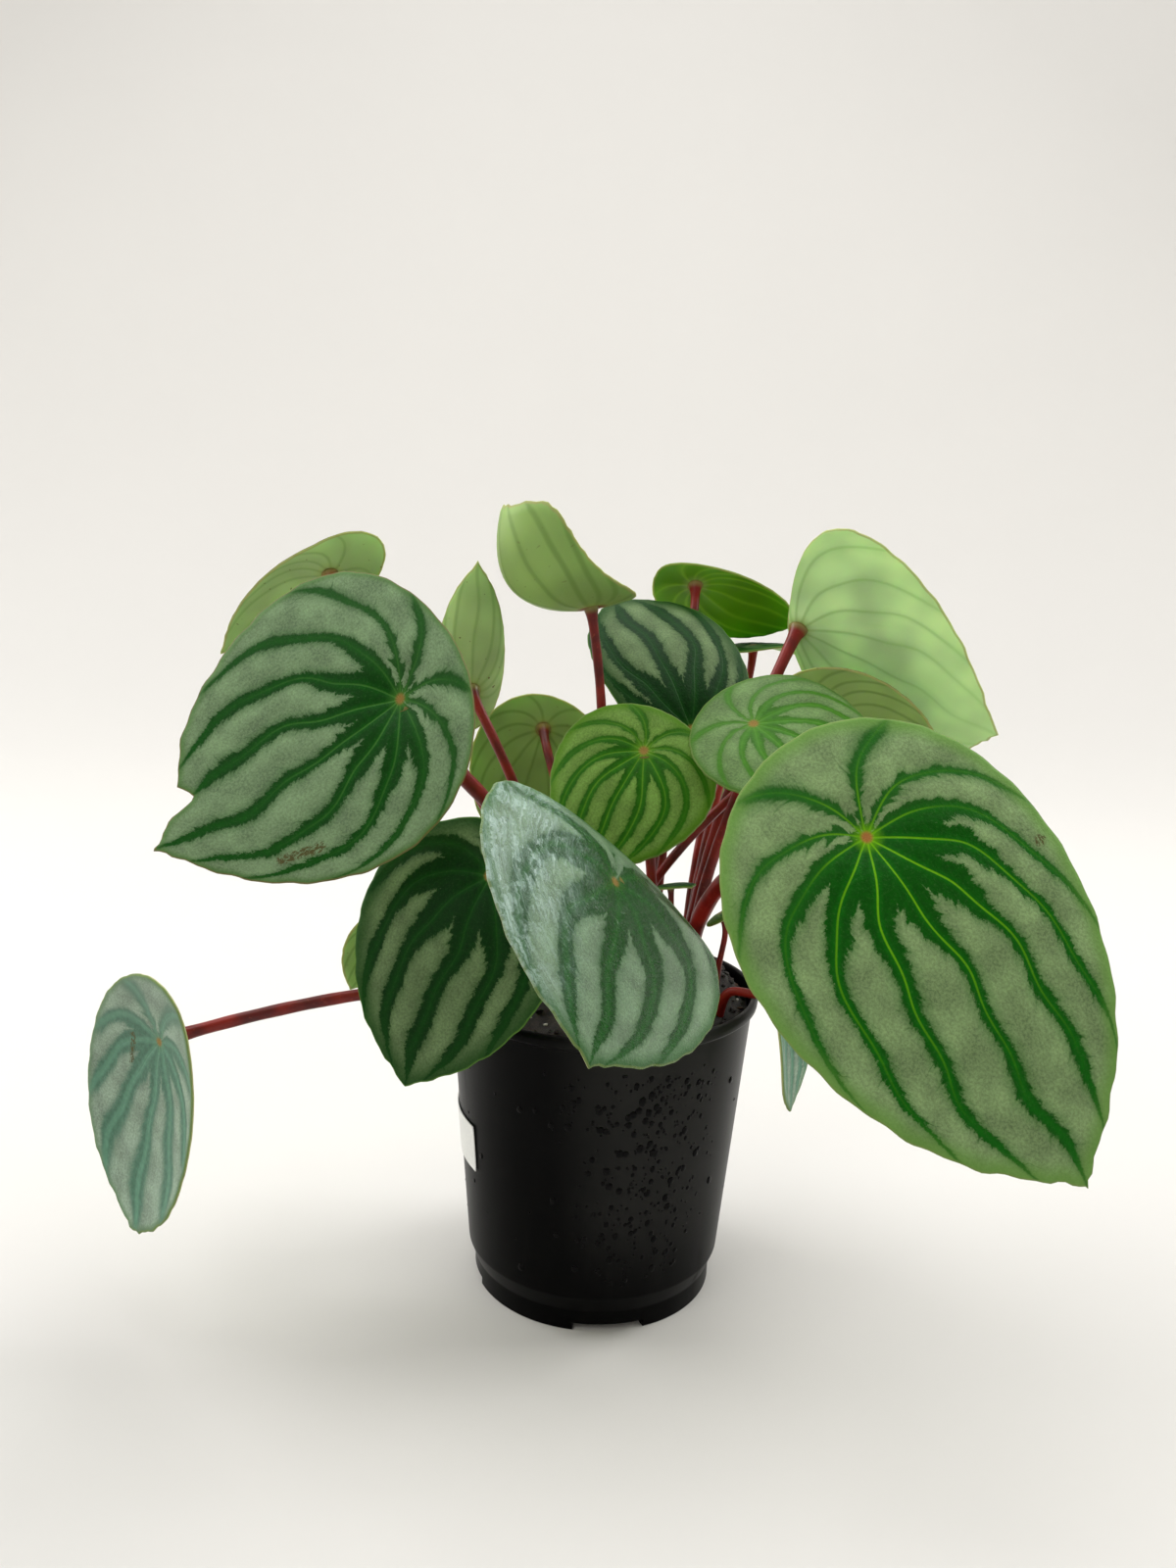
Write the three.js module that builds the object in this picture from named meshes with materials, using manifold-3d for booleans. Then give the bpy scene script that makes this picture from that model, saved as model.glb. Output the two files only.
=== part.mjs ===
// A potted watermelon peperomia: thick striped leaves, each on its own red stalk,
// rising from a mound of potting soil in a thin black nursery pot.
// Millimetres, +Z up. The origin is the middle of the pot's underside, on the surface
// that the pot stands on. -Y is the plant's front.
import * as THREE from "three";
import { mergeVertices } from "three/addons/utils/BufferGeometryUtils.js";
import Module from "manifold-3d";

const wasm = await Module();
wasm.setup();

// ---- Driving dimensions ----

const GAP = 0.3; // left between pieces that rest on each other

const POT = {
  height: 104,
  lipRadius: 52.8,
  wallTopRadius: 50.9,
  wallTopHeight: 99.5,
  wallFootRadius: 43.4,
  wallFootHeight: 13,
  footRadius: 41,
  footHeight: 7,
  footRingWidth: 3,
  floorLift: 3,
  padRadius: 12,
  wall: 1.2,
  sides: 40,
};

const DRAIN = {
  count: 4,
  firstAngle: THREE.MathUtils.degToRad(-82), // just right of the front
  halfAngle: THREE.MathUtils.degToRad(16.5),
  height: 2.6,
  innerRadius: 35.5,
  outerRadius: 46,
  steps: 6,
};

const LABEL = {
  thickness: 0.3,
  bottom: 46,
  height: 16,
  nearAngle: THREE.MathUtils.degToRad(-147.5), // its front edge, on the pot's left side
  span: THREE.MathUtils.degToRad(40),
  steps: 8,
};

const SOIL = {
  bottom: 4.6,
  level: 97,
  sides: 40,
  topRings: [42, 33, 24, 15, 7],
  mounds: [
    { x: 24, y: 6, height: 24, spread: 13 },
    { x: -8, y: 2, height: 17, spread: 15 },
  ],
};

const CROWNS = [
  { name: "crown_left", x: -11, y: 1, radius: 3.5, rise: 8 },
  { name: "crown_right", x: 21, y: 3, radius: 3.5, rise: 8 },
];
const CROWN = { sunk: 8, sides: 12, clearing: 30 }; // clearing: the hole's height over it

const STALK = {
  sunk: 8, // how deep its foot stands in the soil
  sides: 8,
  stepLength: 11,
  drift: 0.15, // how far it already heads for the blade as it rises, as a share of the way
  lean: 0.6, // how far it meets the blade along its own way, and not square to the blade
};

const BLADE = {
  thickness: 1.2, // over the middle
  marginThickness: 0.8,
  widestShare: 0.6, // of the length, back from the tip
  tipPoint: 0.85, // how far the sides pull in to a drawn-out tip
  tipReach: 0.06, // the share of the length that the drawn-out tip takes
  dimpleRadius: 8,
  curlReach: 5,
  waves: 5, // along the margin, once round
  rings: [0.14, 0.36, 0.6, 0.82, 1],
};

// Each leaf: where its stalk joins the blade (joint), its tip, and the way its upper
// side looks (face). back is the blade's length behind the joint and half its width to the
// left and right, seen from above with the tip ahead. arch lifts the midrib between joint
// and tip, bow bends it to the left, drop lowers the two margins below it, and wave is the
// height of the margin's waves. dimple is the depth of the hollow over the stalk, curl bends
// the part behind the joint up, in degrees, skew pulls the right side back and the left
// side ahead, and widest is where the blade is widest, as a share of its length from the
// tip. tipPoint is BLADE's, where a leaf has a blunter tip. spokes is how many ways its
// outline is split. root is where the stalk leaves the soil; rise and reach are how far it
// keeps its way from the soil and up to the blade.
const LEAVES = [
  {
    name: "left_large", joint: [-63, -42, 203], tip: [-130, -56, 158], face: [-0.2, -1, 0.35],
    back: 22.6, half: [36, 50], arch: 3, bow: 6, drop: [2, 2], wave: 1, dimple: 3,
    spokes: 28, root: [-5, -7], stalkRadius: 2.6, rise: 42, reach: 34, widest: 0.63,
  },
  {
    name: "left_back", joint: [-97, 22, 237], tip: [-134, 20, 208], face: [-0.2, 0.9, 0.6],
    back: 21.5, half: [13.7, 12.9], arch: 3.8, bow: 0, drop: [4, 4], wave: 1, dimple: 2,
    spokes: 24, root: [-19, 4], stalkRadius: 1.8, rise: 60, reach: 24, widest: 0.61, curl: 16,
  },
  {
    name: "left_folded", joint: [-47, 6, 201], tip: [-45, 0, 243], face: [-0.2, 1, 0.1],
    back: 13, half: [11, 11], arch: 1, bow: 0, drop: [-5, -6], wave: 1, dimple: 1,
    spokes: 20, root: [-14, 10], stalkRadius: 1.7, rise: 40, reach: 14,
  },
  {
    name: "back_left", joint: [-24, 36, 185], tip: [-37, 34, 140], face: [0, 1, 0.35],
    back: 12, half: [22, 26], arch: 2, bow: 0, drop: [3, 3], wave: 1, dimple: 1.5,
    spokes: 20, root: [-6, 14], stalkRadius: 1.6, rise: 35, reach: 20,
  },
  {
    name: "top", joint: [-8.5, 6, 229.8], tip: [-37.8, 4, 260.7], face: [0.3, 0.5, 1],
    back: 7.5, half: [18.5, 16.6], arch: -17, bow: 0, drop: [-18, -15], wave: 1, dimple: 1,
    spokes: 20, root: [-1, 8], stalkRadius: 1.6, rise: 60, reach: 30, widest: 0.36,
  },
  {
    name: "centre_back", joint: [27, 14, 189.5], tip: [-1, 55, 228.6], face: [0, -0.7, 1],
    back: 16, half: [20.5, 30.8], arch: 6, bow: 0, drop: [3, 3], wave: 1, dimple: 1.5,
    spokes: 20, root: [14, 6], stalkRadius: 1.8, rise: 35, reach: 22, widest: 0.45,
  },
  {
    name: "back_bright", joint: [29.6, 61, 237.2], tip: [71.3, 73, 223], face: [0.1, 0.8, 0.6],
    back: 15.5, half: [20.4, 11.2], arch: 1, bow: 0, drop: [2, 2], wave: 1, dimple: 1.5,
    spokes: 20, root: [18, 22], stalkRadius: 1.7, rise: 64, reach: 20, widest: 0.56,
  },
  {
    name: "centre_round", joint: [10, -14, 186], tip: [-9, -28, 150], face: [-0.1, -1, 0.5],
    back: 15, half: [27, 25], arch: 2, bow: 0, drop: [3, 3], wave: 1, dimple: 1.5,
    spokes: 24, root: [17, -6], stalkRadius: 1.8, rise: 30, reach: 22,
  },
  {
    name: "centre_right", joint: [44, -16, 196], tip: [84, -30, 178], face: [0.1, -0.85, 0.8],
    back: 18, half: [26, 26], arch: 4, bow: 0, drop: [3, 3], wave: 1, dimple: 1.5,
    spokes: 24, root: [29, 0], stalkRadius: 1.9, rise: 35, reach: 24,
  },
  {
    name: "front", joint: [1, -60, 155], tip: [-7, -108, 119], face: [0.7, -0.49, 0.51],
    back: 23, half: [47, 50], arch: 2, bow: 0, drop: [3, 3], wave: 1, dimple: 3,
    spokes: 28, root: [6, -14], stalkRadius: 2.2, rise: 30, reach: 24, curl: -20,
  },
  {
    name: "front_left", joint: [-35, -50, 153], tip: [-57, -62, 92], face: [-0.2, -1, 0.4],
    back: 16, half: [30, 33], arch: 4, bow: 0, drop: [3, 3], wave: 1, dimple: 2,
    spokes: 24, root: [-11, -17], stalkRadius: 2.1, rise: 25, reach: 24,
  },
  {
    name: "far_left", joint: [-133, -50, 98], tip: [-142, -52, 37], face: [-0.65, -0.76, 0.15],
    back: 25, half: [30, 30], arch: -5, bow: -5, drop: [-6, -6], wave: 1, dimple: 1,
    spokes: 24, root: [-22, -13], stalkRadius: 2, rise: 16, reach: 22, widest: 0.5, tipPoint: 0.45,
  },
  {
    name: "left_low_back", joint: [-66, 0, 121], tip: [-86, 2, 96], face: [-0.5, 1, 0.4],
    back: 10, half: [16, 16], arch: 2, bow: 0, drop: [2, 2], wave: 1, dimple: 1.5,
    spokes: 20, root: [-26, -3], stalkRadius: 1.6, rise: 20, reach: 14,
  },
  {
    name: "right_large", joint: [61, -106, 181], tip: [112, -132, 105], face: [0.15, -1, 0.3],
    back: 30, half: [41, 44], arch: 4, bow: 0, drop: [4, 4], wave: 1.5, dimple: 3,
    spokes: 28, root: [27, -5], stalkRadius: 2.8, rise: 55, reach: 40,
  },
  {
    name: "right_tall", joint: [62, 20, 224.5], tip: [127, 2, 192.5], face: [0.54, 0.88, 0.43],
    back: 4, half: [27, 42], arch: 0, bow: 0, drop: [0, 2], wave: 1, dimple: 2,
    spokes: 28, root: [29, 13], stalkRadius: 2.1, rise: 38, reach: 18, skew: 0.44, widest: 0.63,
  },
  {
    name: "right_back", joint: [70, 10, 198], tip: [106, -8, 188], face: [0.45, 0.85, 0.35],
    back: 16, half: [20, 18], arch: 3, bow: 0, drop: [3, 3], wave: 1, dimple: 1.5,
    spokes: 20, root: [4, 1], stalkRadius: 1.6, rise: 40, reach: 20,
  },
  {
    name: "right_low", joint: [56, -26, 112], tip: [60, -32, 74], face: [0.95, -0.5, 0.2],
    back: 10, half: [15, 15], arch: 1, bow: 0, drop: [-3, -3], wave: 0.5, dimple: 1,
    spokes: 16, root: [38, -15], stalkRadius: 1.5, rise: 16, reach: 14,
  },
  {
    name: "centre_low_back", joint: [38, 50, 166], tip: [42, 62, 143], face: [0.2, 1, 0.5],
    back: 6, half: [14, 14], arch: 2, bow: 0, drop: [3, 3], wave: 1, dimple: 1.5,
    spokes: 16, root: [29, 25], stalkRadius: 1.6, rise: 30, reach: 16,
  },
  {
    name: "back_right_edge", joint: [53, 66, 215], tip: [75, 76, 210], face: [0.1, 0.1, 1],
    back: 12, half: [16, 16], arch: 2, bow: 0, drop: [1, 1], wave: 0.5, dimple: 1,
    spokes: 16, root: [29, 16], stalkRadius: 1.5, rise: 45, reach: 20,
  },
  {
    name: "young_front", joint: [21, -8, 141], tip: [27, -19, 143], face: [0.2, -0.4, 1],
    back: 4, half: [6, 6], arch: 0.5, bow: 0, drop: [1, 1], wave: 0, dimple: 0.5,
    spokes: 12, root: [22, -12], stalkRadius: 1, rise: 8, reach: 6,
  },
  {
    name: "young_back", joint: [39, -2, 130], tip: [45, -12, 134], face: [-0.2, -0.4, 1],
    back: 5, half: [7, 7], arch: 0.5, bow: 0, drop: [1, 1], wave: 0, dimple: 0.5,
    spokes: 12, root: [38, -3], stalkRadius: 1, rise: 12, reach: 8,
  },
];

// ---- Materials ----

const matte = (color, roughness) => new THREE.MeshStandardMaterial({ color, roughness, metalness: 0 });

const plastic = matte(0x14140f, 0.3);
const paper = matte(0xf2f1ee, 0.7);
const earth = matte(0x1f1712, 0.95);
const bark = matte(0x4a3222, 0.8);
const redStalk = matte(0x7d2a1f, 0.45);
const leafGreen = matte(0x5f8a55, 0.5);

// ---- Solids ----

// A closed mesh geometry as a solid that can be joined and cut.
function toSolid(geometry) {
  const bare = geometry.clone();
  bare.deleteAttribute("normal");
  bare.deleteAttribute("uv");
  const merged = mergeVertices(bare, 1e-4);
  return new wasm.Manifold(
    new wasm.Mesh({
      numProp: 3,
      vertProperties: merged.attributes.position.array,
      triVerts: new Uint32Array(merged.index.array),
    }),
  );
}

function toGeometry(solid) {
  const mesh = solid.getMesh();
  const geometry = new THREE.BufferGeometry();
  geometry.setAttribute("position", new THREE.BufferAttribute(mesh.vertProperties, 3));
  geometry.setIndex(new THREE.BufferAttribute(mesh.triVerts, 1));
  geometry.computeVertexNormals();
  return geometry;
}

function meshNamed(name, geometry, material) {
  const mesh = new THREE.Mesh(geometry, material);
  mesh.name = name;
  return mesh;
}

// Turns a profile of [radius, height] points about the pot's axis.
function turned(profile, sides) {
  const points = profile.map(([radius, height]) => new THREE.Vector2(radius, height));
  return new THREE.LatheGeometry(points, sides).rotateX(Math.PI / 2);
}

// The room that one drain notch takes out of the foot ring, from an angle on.
function drainNotch(from) {
  const to = from + 2 * DRAIN.halfAngle;
  const below = 1; // it starts under the foot, so that it cuts clean
  const shape = new THREE.Shape();
  shape.absarc(0, 0, DRAIN.outerRadius, from, to, false);
  shape.absarc(0, 0, DRAIN.innerRadius, to, from, true);
  const settings = { depth: DRAIN.height + below, bevelEnabled: false, curveSegments: DRAIN.steps };
  return new THREE.ExtrudeGeometry(shape, settings).translate(0, 0, -below);
}

// ---- Pot ----

// The outer wall's radius at a height between the foot and the lip.
function wallRadius(height) {
  const share = (height - POT.wallFootHeight) / (POT.wallTopHeight - POT.wallFootHeight);
  return THREE.MathUtils.lerp(POT.wallFootRadius, POT.wallTopRadius, share);
}

function makePot() {
  const { wall, footRadius, floorLift, padRadius, height, lipRadius } = POT;
  const slope = 1.5; // how far the floor's steps lean
  const ringInner = footRadius - POT.footRingWidth;
  const outside = [
    [0, 0],
    [padRadius, 0],
    [padRadius + slope, floorLift],
    [ringInner - slope, floorLift],
    [ringInner, 0],
    [footRadius, 0],
    [footRadius, POT.footHeight],
    [POT.wallFootRadius, POT.wallFootHeight],
    [POT.wallTopRadius, POT.wallTopHeight],
    [lipRadius - 0.3, POT.wallTopHeight + 0.9],
    [lipRadius, height - 1.6],
    [lipRadius - 0.6, height],
  ];
  const inside = [
    [lipRadius - 2.2, height],
    [POT.wallTopRadius - wall, POT.wallTopHeight],
    [POT.wallFootRadius - wall, POT.wallFootHeight + wall / 2],
    [footRadius - wall, POT.footHeight + wall / 2],
    [footRadius - wall, wall],
    [ringInner + 0.6, wall],
    [ringInner - slope + 0.6, floorLift + wall],
    [padRadius + slope - 0.6, floorLift + wall],
    [padRadius - 0.6, wall],
    [0, wall],
  ];
  let pot = toSolid(turned([...outside, ...inside], POT.sides));
  for (let i = 0; i < DRAIN.count; i++) {
    const angle = DRAIN.firstAngle + (i * 2 * Math.PI) / DRAIN.count;
    pot = pot.subtract(toSolid(drainNotch(angle - DRAIN.halfAngle)));
  }
  return meshNamed("pot", toGeometry(pot), plastic);
}

// A bare paper label that lies round the wall: its two faces follow the wall's taper.
function makeLabel() {
  const columns = LABEL.steps + 1;
  const positions = [];
  for (const offset of [GAP, GAP + LABEL.thickness]) {
    for (const height of [LABEL.bottom, LABEL.bottom + LABEL.height]) {
      for (let i = 0; i < columns; i++) {
        const angle = LABEL.nearAngle - (LABEL.span * i) / LABEL.steps;
        const radius = wallRadius(height) + offset;
        positions.push(radius * Math.cos(angle), radius * Math.sin(angle), height);
      }
    }
  }
  const at = (layer, row, i) => (layer * 2 + row) * columns + i;
  const index = [];
  const quad = (a, b, c, d) => index.push(a, b, c, a, c, d);
  for (let i = 0; i < LABEL.steps; i++) {
    quad(at(0, 0, i), at(0, 0, i + 1), at(0, 1, i + 1), at(0, 1, i));
    quad(at(1, 0, i + 1), at(1, 0, i), at(1, 1, i), at(1, 1, i + 1));
    quad(at(0, 0, i + 1), at(0, 0, i), at(1, 0, i), at(1, 0, i + 1));
    quad(at(0, 1, i), at(0, 1, i + 1), at(1, 1, i + 1), at(1, 1, i));
  }
  quad(at(0, 0, 0), at(0, 1, 0), at(1, 1, 0), at(1, 0, 0));
  const last = LABEL.steps;
  quad(at(0, 0, last), at(1, 0, last), at(1, 1, last), at(0, 1, last));
  const geometry = new THREE.BufferGeometry();
  geometry.setAttribute("position", new THREE.Float32BufferAttribute(positions, 3));
  geometry.setIndex(index);
  return meshNamed("label", geometry, paper);
}

// ---- Leaves ----

const vector = ([x, y, z]) => new THREE.Vector3(x, y, z);

// The blade's own frame and its bent middle surface.
function makeBladeSurface(leaf) {
  const joint = vector(leaf.joint);
  const along = vector(leaf.tip).sub(joint);
  const tipLength = along.length();
  along.normalize();
  const up = vector(leaf.face);
  up.addScaledVector(along, -up.dot(along)).normalize();
  const left = new THREE.Vector3().crossVectors(up, along);
  const length = tipLength + leaf.back;
  const widestPower = Math.log(0.5) / Math.log(leaf.widest ?? BLADE.widestShare);

  // A point of the margin: 0 at the tip, on round the left side to the base and back.
  function margin(turn) {
    const fromTip = (1 - Math.cos(turn)) / 2;
    const warped = fromTip ** widestPower;
    const fullness = 2 * Math.sqrt(Math.max(0, warped * (1 - warped)));
    const pointed = 1 - (leaf.tipPoint ?? BLADE.tipPoint) * Math.exp(-fromTip / BLADE.tipReach);
    const reach = turn < Math.PI ? leaf.half[0] : -leaf.half[1];
    const v = reach * fullness * pointed;
    return new THREE.Vector2(tipLength - length * fromTip + (leaf.skew ?? 0) * v, v);
  }

  // The middle surface over a flat leaf point, u towards the tip and v to the left.
  function pointAt(u, v) {
    const share = u / tipLength;
    const side = v > 0 ? 0 : 1;
    const across = v / leaf.half[side];
    const radius = Math.hypot(u, v);
    const turn = Math.atan2(v, u);
    const bulge = 4 * share * (1 - share);
    const behind = Math.min(u, 0);
    const curl = THREE.MathUtils.degToRad(leaf.curl ?? 0) * (1 - Math.exp(behind / BLADE.curlReach));
    let height = leaf.arch * bulge - leaf.drop[side] * across ** 2 - behind * Math.sin(curl);
    height += leaf.dimple * (1 - Math.exp(-((radius / BLADE.dimpleRadius) ** 2)));
    height += leaf.wave * Math.sin(BLADE.waves * turn + leaf.joint[0]) * (radius / length) ** 2;
    return joint
      .clone()
      .addScaledVector(along, u - behind * (1 - Math.cos(curl)))
      .addScaledVector(left, leaf.bow * bulge + v)
      .addScaledVector(up, height);
  }

  function normalAt(u, v) {
    const step = 0.5;
    const du = pointAt(u + step, v).sub(pointAt(u - step, v));
    const dv = pointAt(u, v + step).sub(pointAt(u, v - step));
    return du.cross(dv).normalize();
  }
  return { margin, pointAt, normalAt };
}

// A blade: two faces split into triangles alike, closed along the margin.
function makeBlade(leaf, surface) {
  const upper = [];
  const lower = [];
  const addPair = (u, v, thickness) => {
    const middle = surface.pointAt(u, v);
    const normal = surface.normalAt(u, v);
    upper.push(middle.clone().addScaledVector(normal, thickness / 2));
    lower.push(middle.addScaledVector(normal, -thickness / 2));
  };
  addPair(0, 0, BLADE.thickness);
  for (const ring of BLADE.rings) {
    const thickness = THREE.MathUtils.lerp(BLADE.thickness, BLADE.marginThickness, ring ** 3);
    for (let i = 0; i < leaf.spokes; i++) {
      const edge = surface.margin((2 * Math.PI * i) / leaf.spokes);
      addPair(edge.x * ring, edge.y * ring, thickness);
    }
  }
  const positions = [...upper, ...lower].flatMap((point) => point.toArray());
  const below = upper.length;
  const at = (ring, i) => 1 + ring * leaf.spokes + (i % leaf.spokes);
  const index = [];
  const both = (a, b, c) => index.push(a, b, c, below + a, below + c, below + b);
  const last = BLADE.rings.length - 1;
  for (let i = 0; i < leaf.spokes; i++) {
    both(0, at(0, i), at(0, i + 1));
    for (let ring = 0; ring < last; ring++) {
      both(at(ring, i), at(ring + 1, i), at(ring + 1, i + 1));
      both(at(ring, i), at(ring + 1, i + 1), at(ring, i + 1));
    }
    const [a, b] = [at(last, i), at(last, i + 1)];
    index.push(a, below + a, below + b, a, below + b, b);
  }
  const geometry = new THREE.BufferGeometry();
  geometry.setAttribute("position", new THREE.Float32BufferAttribute(positions, 3));
  geometry.setIndex(index);
  geometry.computeVertexNormals();
  return meshNamed(`leaf_${leaf.name}`, geometry, leafGreen);
}

// ---- Stalks ----

function soilHeight(x, y) {
  const rise = ({ height, spread, x: cx, y: cy }) =>
    height * Math.exp(-((x - cx) ** 2 + (y - cy) ** 2) / (2 * spread ** 2));
  return SOIL.level + SOIL.mounds.reduce((sum, mound) => sum + rise(mound), 0);
}

// The way a stalk takes from its foot in the soil to just under the blade.
function stalkPath(leaf, surface, footDrop) {
  const [x, y] = leaf.root;
  const foot = new THREE.Vector3(x, y, soilHeight(x, y) - STALK.sunk - footDrop);
  const joint = vector(leaf.joint);
  const normal = surface.normalAt(0, 0);
  const homeward = foot.clone().sub(joint).normalize();
  const below = normal.clone().multiplyScalar(-1).addScaledVector(homeward, STALK.lean).normalize();
  const tilt = Math.sqrt(1 - below.dot(normal) ** 2);
  const end = joint.clone().addScaledVector(below, BLADE.thickness / 2 + GAP + leaf.stalkRadius * tilt);
  const before = end.clone().addScaledVector(below, leaf.reach);
  const after = foot.clone().add(new THREE.Vector3(0, 0, STALK.sunk + leaf.rise));
  after.x += STALK.drift * (before.x - x);
  after.y += STALK.drift * (before.y - y);
  return new THREE.CubicBezierCurve3(foot, after, before, end);
}

// A round rod along a path.
function rod(path, radius) {
  const section = new THREE.Shape().absarc(0, 0, radius, 0, 2 * Math.PI, false);
  const settings = {
    extrudePath: path,
    steps: Math.ceil(path.getLength() / STALK.stepLength),
    curveSegments: STALK.sides / 2,
    bevelEnabled: false,
  };
  return new THREE.ExtrudeGeometry(section, settings);
}

// ---- Soil ----

// A short woody stump that stalks stand round, rounded on top.
function crownProfile(radius, top, bottom) {
  return [
    [0, bottom],
    [radius, bottom],
    [radius, top - radius * 0.6],
    [radius * 0.75, top - radius * 0.15],
    [0, top],
  ];
}

function makeCrown({ name, x, y, radius, rise }) {
  const level = soilHeight(x, y);
  const profile = crownProfile(radius, level + rise, level - CROWN.sunk);
  return meshNamed(name, turned(profile, CROWN.sides).translate(x, y, 0), bark);
}

// The soil fills the pot to a mounded top, with a plain hole for each stalk and crown.
function makeSoil(cutters) {
  const innerRadius = (height) => wallRadius(height) - POT.wall - GAP;
  const low = POT.footRadius - POT.wall - GAP;
  const profile = [
    [0, SOIL.bottom],
    [low, SOIL.bottom],
    [low, POT.footHeight],
    [innerRadius(POT.wallFootHeight + 1), POT.wallFootHeight + 1],
    [innerRadius(SOIL.level), SOIL.level],
    ...SOIL.topRings.map((radius) => [radius, SOIL.level]),
    [0, SOIL.level],
  ];
  const body = turned(profile, SOIL.sides);
  const position = body.attributes.position;
  const edge = innerRadius(SOIL.level) - 0.5;
  for (let i = 0; i < position.count; i++) {
    const [x, y, z] = [position.getX(i), position.getY(i), position.getZ(i)];
    if (z > SOIL.level - 0.1 && Math.hypot(x, y) < edge) position.setZ(i, soilHeight(x, y));
  }
  const soil = cutters.reduce((rest, cutter) => rest.subtract(toSolid(cutter)), toSolid(body));
  return meshNamed("soil", toGeometry(soil), earth);
}

// ---- The plant ----

const group = new THREE.Group();
const cutters = CROWNS.map(({ x, y, radius }) => {
  const level = soilHeight(x, y);
  const profile = crownProfile(radius + GAP, level + CROWN.clearing, level - CROWN.sunk - GAP);
  return turned(profile, CROWN.sides).translate(x, y, 0);
});
for (const leaf of LEAVES) {
  const surface = makeBladeSurface(leaf);
  group.add(makeBlade(leaf, surface));
  const stalk = rod(stalkPath(leaf, surface, 0), leaf.stalkRadius);
  group.add(meshNamed(`stalk_${leaf.name}`, stalk, redStalk));
  cutters.push(rod(stalkPath(leaf, surface, GAP), leaf.stalkRadius + GAP));
}
group.add(makePot(), makeLabel(), makeSoil(cutters), ...CROWNS.map(makeCrown));

export default group;
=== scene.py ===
"""A potted watermelon peperomia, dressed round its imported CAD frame.

Every piece stands in the frame's own coordinates. Sizes in the tables are millimetres and
become metres where a mesh is made. -Y is the plant's front and +Z is up.
"""

from __future__ import annotations

import logging
import math
import random
from dataclasses import dataclass, field
from enum import Enum
from typing import Iterable, Protocol, Sequence

import bmesh
import bpy
import numpy as np
from mathutils import Matrix, Vector, noise


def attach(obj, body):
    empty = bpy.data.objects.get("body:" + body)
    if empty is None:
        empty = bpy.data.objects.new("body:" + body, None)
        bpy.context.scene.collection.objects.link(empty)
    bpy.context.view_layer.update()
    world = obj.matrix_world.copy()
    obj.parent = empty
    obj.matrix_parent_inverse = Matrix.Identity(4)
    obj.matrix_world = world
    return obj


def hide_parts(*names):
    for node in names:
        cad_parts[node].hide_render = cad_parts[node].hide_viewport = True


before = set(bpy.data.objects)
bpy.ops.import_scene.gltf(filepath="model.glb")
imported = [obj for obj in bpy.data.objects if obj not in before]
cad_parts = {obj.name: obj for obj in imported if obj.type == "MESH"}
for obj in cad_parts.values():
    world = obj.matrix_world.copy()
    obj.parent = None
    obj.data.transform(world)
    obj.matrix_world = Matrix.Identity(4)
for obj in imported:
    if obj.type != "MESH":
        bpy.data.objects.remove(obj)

LOG = logging.getLogger("peperomia")
MM = 0.001
Pair = tuple[float, float]
Triple = tuple[float, float, float]
Colour = tuple[float, float, float, float]
Face = tuple[int, ...]


def srgb(red: float, green: float, blue: float) -> Colour:
    """Turns a display colour, 0 to 255 a channel, into the linear one that shaders take.

    Args:
        red: The red channel.
        green: The green channel.
        blue: The blue channel.

    Returns:
        The linear colour, opaque.
    """
    linear = [
        part / 12.92 if part <= 0.04045 else ((part + 0.055) / 1.055) ** 2.4
        for part in (red / 255, green / 255, blue / 255)
    ]
    return (linear[0], linear[1], linear[2], 1.0)


def tinted(colour: Triple, share: float, lift: float = 0.0) -> Colour:
    """A display colour made darker or lighter, as srgb gives it."""
    return srgb(*(min(255, part * share + lift) for part in colour))


# ---- Shader expressions ----


class Socket:
    """One output of a node tree, on which arithmetic adds Math nodes."""

    def __init__(self, shader: Shader, output: bpy.types.NodeSocket) -> None:
        """Wraps an output of the shader's tree."""
        self.shader = shader
        self.output = output

    def _math(self, operation: str, *terms: Socket | float) -> Socket:
        """Adds a Math node over the terms, in their order."""
        return self.shader.node(
            "ShaderNodeMath", {"operation": operation}, dict(enumerate(terms))
        )

    def __add__(self, other: Socket | float) -> Socket:
        """self + other."""
        return self._math("ADD", self, other)

    __radd__ = __add__

    def __sub__(self, other: Socket | float) -> Socket:
        """self - other."""
        return self._math("SUBTRACT", self, other)

    def __rsub__(self, other: Socket | float) -> Socket:
        """other - self."""
        return self._math("SUBTRACT", other, self)

    def __mul__(self, other: Socket | float) -> Socket:
        """self * other."""
        return self._math("MULTIPLY", self, other)

    __rmul__ = __mul__

    def __truediv__(self, other: Socket | float) -> Socket:
        """self / other."""
        return self._math("DIVIDE", self, other)

    def __rtruediv__(self, other: Socket | float) -> Socket:
        """other / self."""
        return self._math("DIVIDE", other, self)

    def __abs__(self) -> Socket:
        """The value without its sign."""
        return self._math("ABSOLUTE", self)

    def rounded(self) -> Socket:
        """The nearest whole number."""
        return self._math("ROUND", self)

    def ramp(self, low: float, high: float) -> Socket:
        """A soft step from 0 at low to 1 at high."""
        return self.shader.node(
            "ShaderNodeMapRange",
            {"interpolation_type": "SMOOTHSTEP"},
            {"Value": self, "From Min": low, "From Max": high},
        )


Value = Socket | float | Colour


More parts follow.
